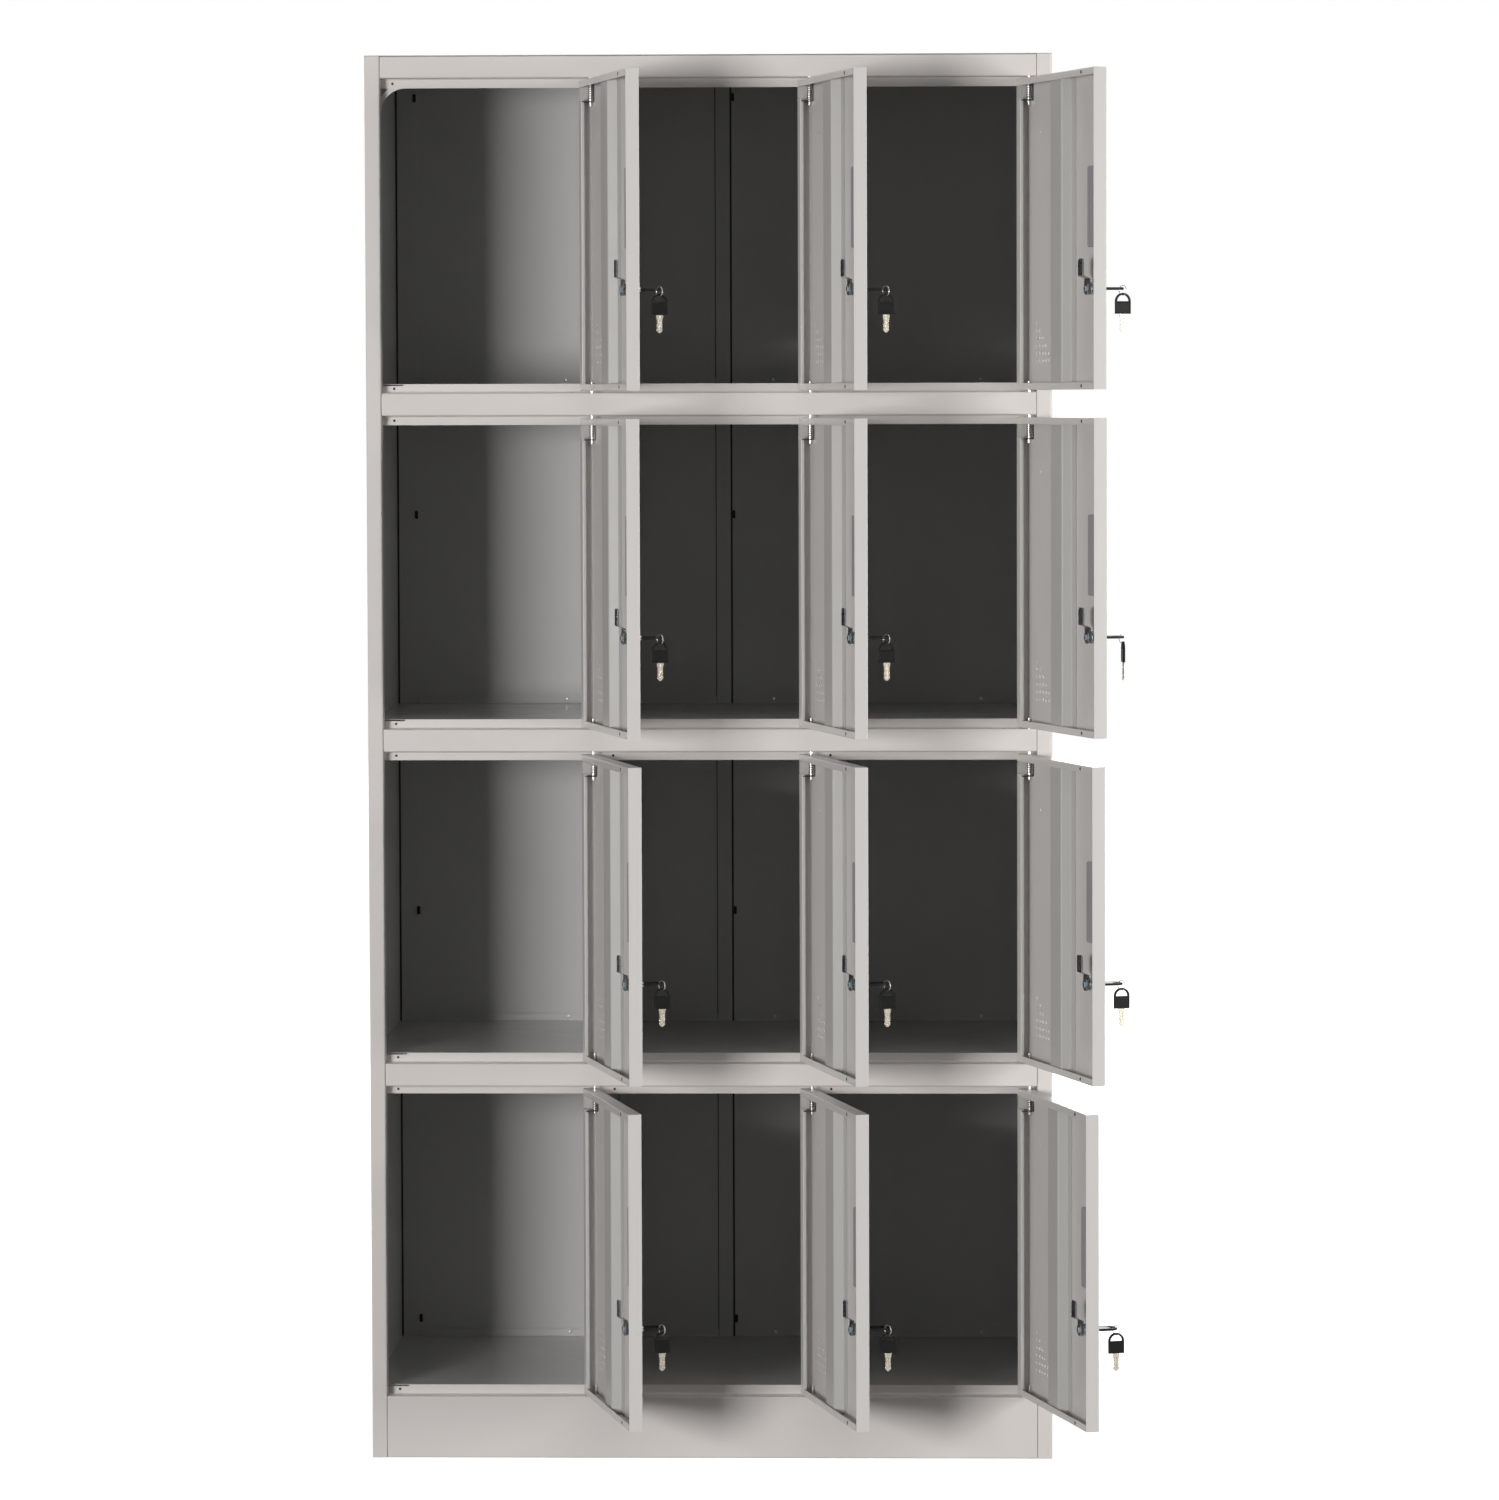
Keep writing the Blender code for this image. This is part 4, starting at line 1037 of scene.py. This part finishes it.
def dress_doors():
    door_paint = paint("door_paint", DOOR_PAINT)
    # Painted shade: the stiffener takes a darker copy of the door's paint
    stiffener_paint = paint("stiffener_paint", STIFFENER_SHADED_PAINT, STIFFENER_ROUGHNESS)
    pull_plastic = look("pull_plastic")
    zinc = look("zinc")
    dark_zinc = look("dark_zinc")
    lock_steel = look("lock_steel")
    nickel = look("nickel")
    cam_steel = look("cam_steel")
    spring_steel = look("spring_steel")
    champagne = look("champagne")
    # Painted shade: dark discs in the door lips' holes
    plug_dark = look("door_plug_dark")
    black = look("black_plastic")
    on_door = (
        ("leaf", leaf_mesh(), door_paint, "door_paint"),
        ("stiffener", stiffener_mesh(), stiffener_paint, "door_paint"),
        ("pins", pins_mesh(), zinc, "lock_metal"),
        ("spring", spring_mesh(), spring_steel, "lock_metal"),
        ("bracket", bracket_mesh(), dark_zinc, "lock_metal"),
        ("pull", pull_mesh(), pull_plastic, "door_paint"),
        ("door_plugs", lip_hole_shade_mesh(), plug_dark, "lock_metal"),
    )
    barrel = barrel_mesh()
    on_lock = (
        ("cam", cam_mesh(), cam_steel, "lock_metal"),
        ("plug", plug_mesh(), nickel, "lock_metal"),
        ("cam_screw", cam_screw_mesh(), lock_steel, "lock_metal"),
        ("collar", collar_mesh(), nickel, "key_metal"),
        ("key_head", key_head_mesh(), black, "lock_metal"),
    )
    on_spare = (
        ("spare_bow", spare_bow_mesh(), black, "key_metal"),
        ("spare_blade", spare_blade_mesh(), champagne, "key_metal"),
        ("ring", ring_mesh(), nickel, "key_metal"),
    )
    for label in LABELS:
        hinge = JOINTS[f"door_{label}_hinge"]
        turn = Matrix.Rotation(math.radians(-hinge["range_deg"][0]), 4, "Z")
        door_place = Matrix.Translation(hinge["pos_m"]) @ turn
        lock_place = Matrix.Translation(JOINTS[f"lock_{label}_turn"]["pos_m"]) @ turn
        own_turn = Matrix.Rotation(SPARE_TURNED.get(label, 0.0), 4, "Z")
        spare_place = Matrix.Translation(JOINTS[f"spare_key_{label}_swing"]["pos_m"]) @ turn @ own_turn
        put(f"barrel_{label}", barrel, lock_steel, "door_" + label, lock_place)
        for pieces, body, place in (
            (on_door, "door_" + label, door_place),
            (on_lock, "lock_" + label, lock_place),
            (on_spare, "spare_key_" + label, spare_place),
        ):
            for number, (name, mesh, material, slot) in enumerate(pieces):
                stands_for = body if number == 0 else None
                put(f"{name}_{label}", mesh, material, body, place, stands_for)


def dress_cabinet():
    """Light paint on the front frame and outside, lightened as painted light, grey inside, and smoother grey on
    the floors.
    """
    # Painted light: the frame colour is lighter than the sheet's paint
    outer = paint("frame_paint", FRAME_PAINT_AND_LIGHT)
    panels = panel_paint()
    inner = paint("inside_paint", INSIDE_PAINT)
    level = paint("floor_paint", INSIDE_PAINT, SHELF_ROUGHNESS)
    for name in frame["record"]["behaviour"]["bodies"]["cabinet"]:
        made = frame["nodes"][name]
        made.data.materials.clear()
        if any(word in name for word in FRAME_NODES):
            made.data.materials.append(outer)
        elif "shelf" in name:
            made.data.materials.append(level)
        else:
            made.data.materials.append(panels)
    add_upstands(inner)
    add_lip_hole_shades()


def add_lip_hole_shades():
    """A small dark disc in each hole of the stop lips: painted shade where the holes look dark."""
    dark = look("plug_dark")
    # Painted shade: dark discs where the stop lips' holes look dark
    mesh = turned("lip_plug", (
        (STOP, LIP_HOLE_SHADE_RADIUS), (STOP - LIP_HOLE_SHADE_PROUD / 2, LIP_HOLE_SHADE_RADIUS),
        (STOP - LIP_HOLE_SHADE_PROUD, LIP_HOLE_SHADE_RADIUS * LIP_HOLE_SHADE_TIP_SHARE)), VENT_SIDES)
    for row in range(ROWS):
        bottom = opening_bottom(row)
        upper = bottom + OPENING_HEIGHT - RAIL_LIP / 2
        lower = bottom + RAIL_LIP / 2
        for column in range(COLUMNS):
            x = STILE_INNER + column * COLUMN_PITCH + LIP_HOLE_SHADE_FROM_SEAM
            for side, level in (("upper", upper), ("lower", lower)):
                name = f"lip_plug_{side}_r{row + 1}c{column + 1}"
                put(name, mesh, dark, "cabinet", shift(x, 0, level))


def add_upstands(material):
    """The low rear flanges of the floors between the back's strips, each column with one rivet."""
    rivet_metal = look("rivet_metal")
    for row in range(ROWS):
        level = opening_bottom(row) + RAIL_LIP
        upright = SHELF_BACK - SHEET - SKIN
        outline = [(SHELF_BACK - UPSTAND_HEIGHT / 2, level + SKIN), (upright, level + SKIN),
                   (upright, level + UPSTAND_HEIGHT)]
        for number, (start, end) in enumerate(UPSTAND_ENDS):
            name = f"rear_upstand_r{row + 1}_{number + 1}"
            put(name, sheet(name, outline, "X", start, end), material, "cabinet", UNMOVED)
        front = SHELF_BACK - 2 * SHEET - SKIN
        profile = [(front + SHEET, RIVET_RADIUS)]
        profile += [(front - RIVET_PROUD * out, RIVET_RADIUS * share) for out, share in RIVET_SHARES]
        for column, x in enumerate(RIVET_COLUMNS):
            name = f"upstand_rivet_r{row + 1}c{column + 1}"
            mesh = turned(name, profile, VENT_SIDES, (x, level + UPSTAND_HEIGHT * RIVET_LEVEL_SHARE))
            put(name, mesh, rivet_metal, "cabinet", UNMOVED)


def add_back_details():
    """Painted shade on the back strips: dark patches where notches lie in shade, and dark strips beside the strips
    where the gaps lie in shade.
    """
    dark = look("tab_dark")
    seam_dark = look("seam_dark")
    # Painted shade: each dark patch stands in for a notch in shade
    for column, x in enumerate(NOTCH_SHADE_COLUMNS):
        for row, level in enumerate(NOTCH_SHADE_LEVELS):
            name = f"back_tab_{column + 1}_{row + 1}"
            loops = []
            for depth, inset in ((0.0, 0.0), (NOTCH_SHADE_PROUD - NOTCH_SHADE_EDGE, 0.0), (NOTCH_SHADE_PROUD, NOTCH_SHADE_EDGE)):
                shape = rounded_box(NOTCH_SHADE_WIDTH - 2 * inset, NOTCH_SHADE_HEIGHT - 2 * inset, NOTCH_SHADE_CORNER)
                loops.append([(x + across, STRIP_FRONT - depth, level + up) for across, up in shape])
            put(name, lofted(name, loops), dark, "cabinet", UNMOVED)
    # Painted shade: thin dark strips stand in for the shade in the gaps beside the strips
    for number, (start, end) in enumerate(SHADE_LINES):
        name = f"back_seam_{number + 1}"
        low = (start, STRIP_FRONT - SKIN, PLINTH_HEIGHT + RAIL_LIP)
        mesh = box_mesh(name, low, (end, STRIP_FRONT, HEIGHT - SHEET * 2))
        put(name, mesh, seam_dark, "cabinet", UNMOVED)


def make_gusset():
    """The rounded plate in the top left corner of the first opening."""
    top = opening_bottom(0) + OPENING_HEIGHT - RAIL_LIP
    centre = (STILE_INNER + GUSSET_RADIUS, top - GUSSET_RADIUS)
    back = STOP + SHEET * 2 + SKIN
    front = back - SHEET
    loops = []
    for step in range(GUSSET_STEPS + 1):
        angle = math.pi / 2 * (1 + step / GUSSET_STEPS)
        x = centre[0] + GUSSET_RADIUS * math.cos(angle)
        z = centre[1] + GUSSET_RADIUS * math.sin(angle)
        far = (STILE_INNER - SHEET, z) if step > GUSSET_STEPS / 2 else (x, top + SHEET)
        loops.append([(x, back, z), (far[0], back, far[1]), (far[0], front, far[1]), (x, front, z)])
    # The gusset takes the frame colour, with its painted light
    gusset_paint = paint("gusset_paint", FRAME_PAINT_AND_LIGHT)
    put("corner_gusset", lofted("corner_gusset", loops), gusset_paint, "cabinet", UNMOVED)


make_camera()
make_surround()
make_lights()
make_floor()
dress_cabinet()
add_back_details()
make_gusset()
dress_doors()
bpy.context.scene.view_settings.view_transform = "Standard"
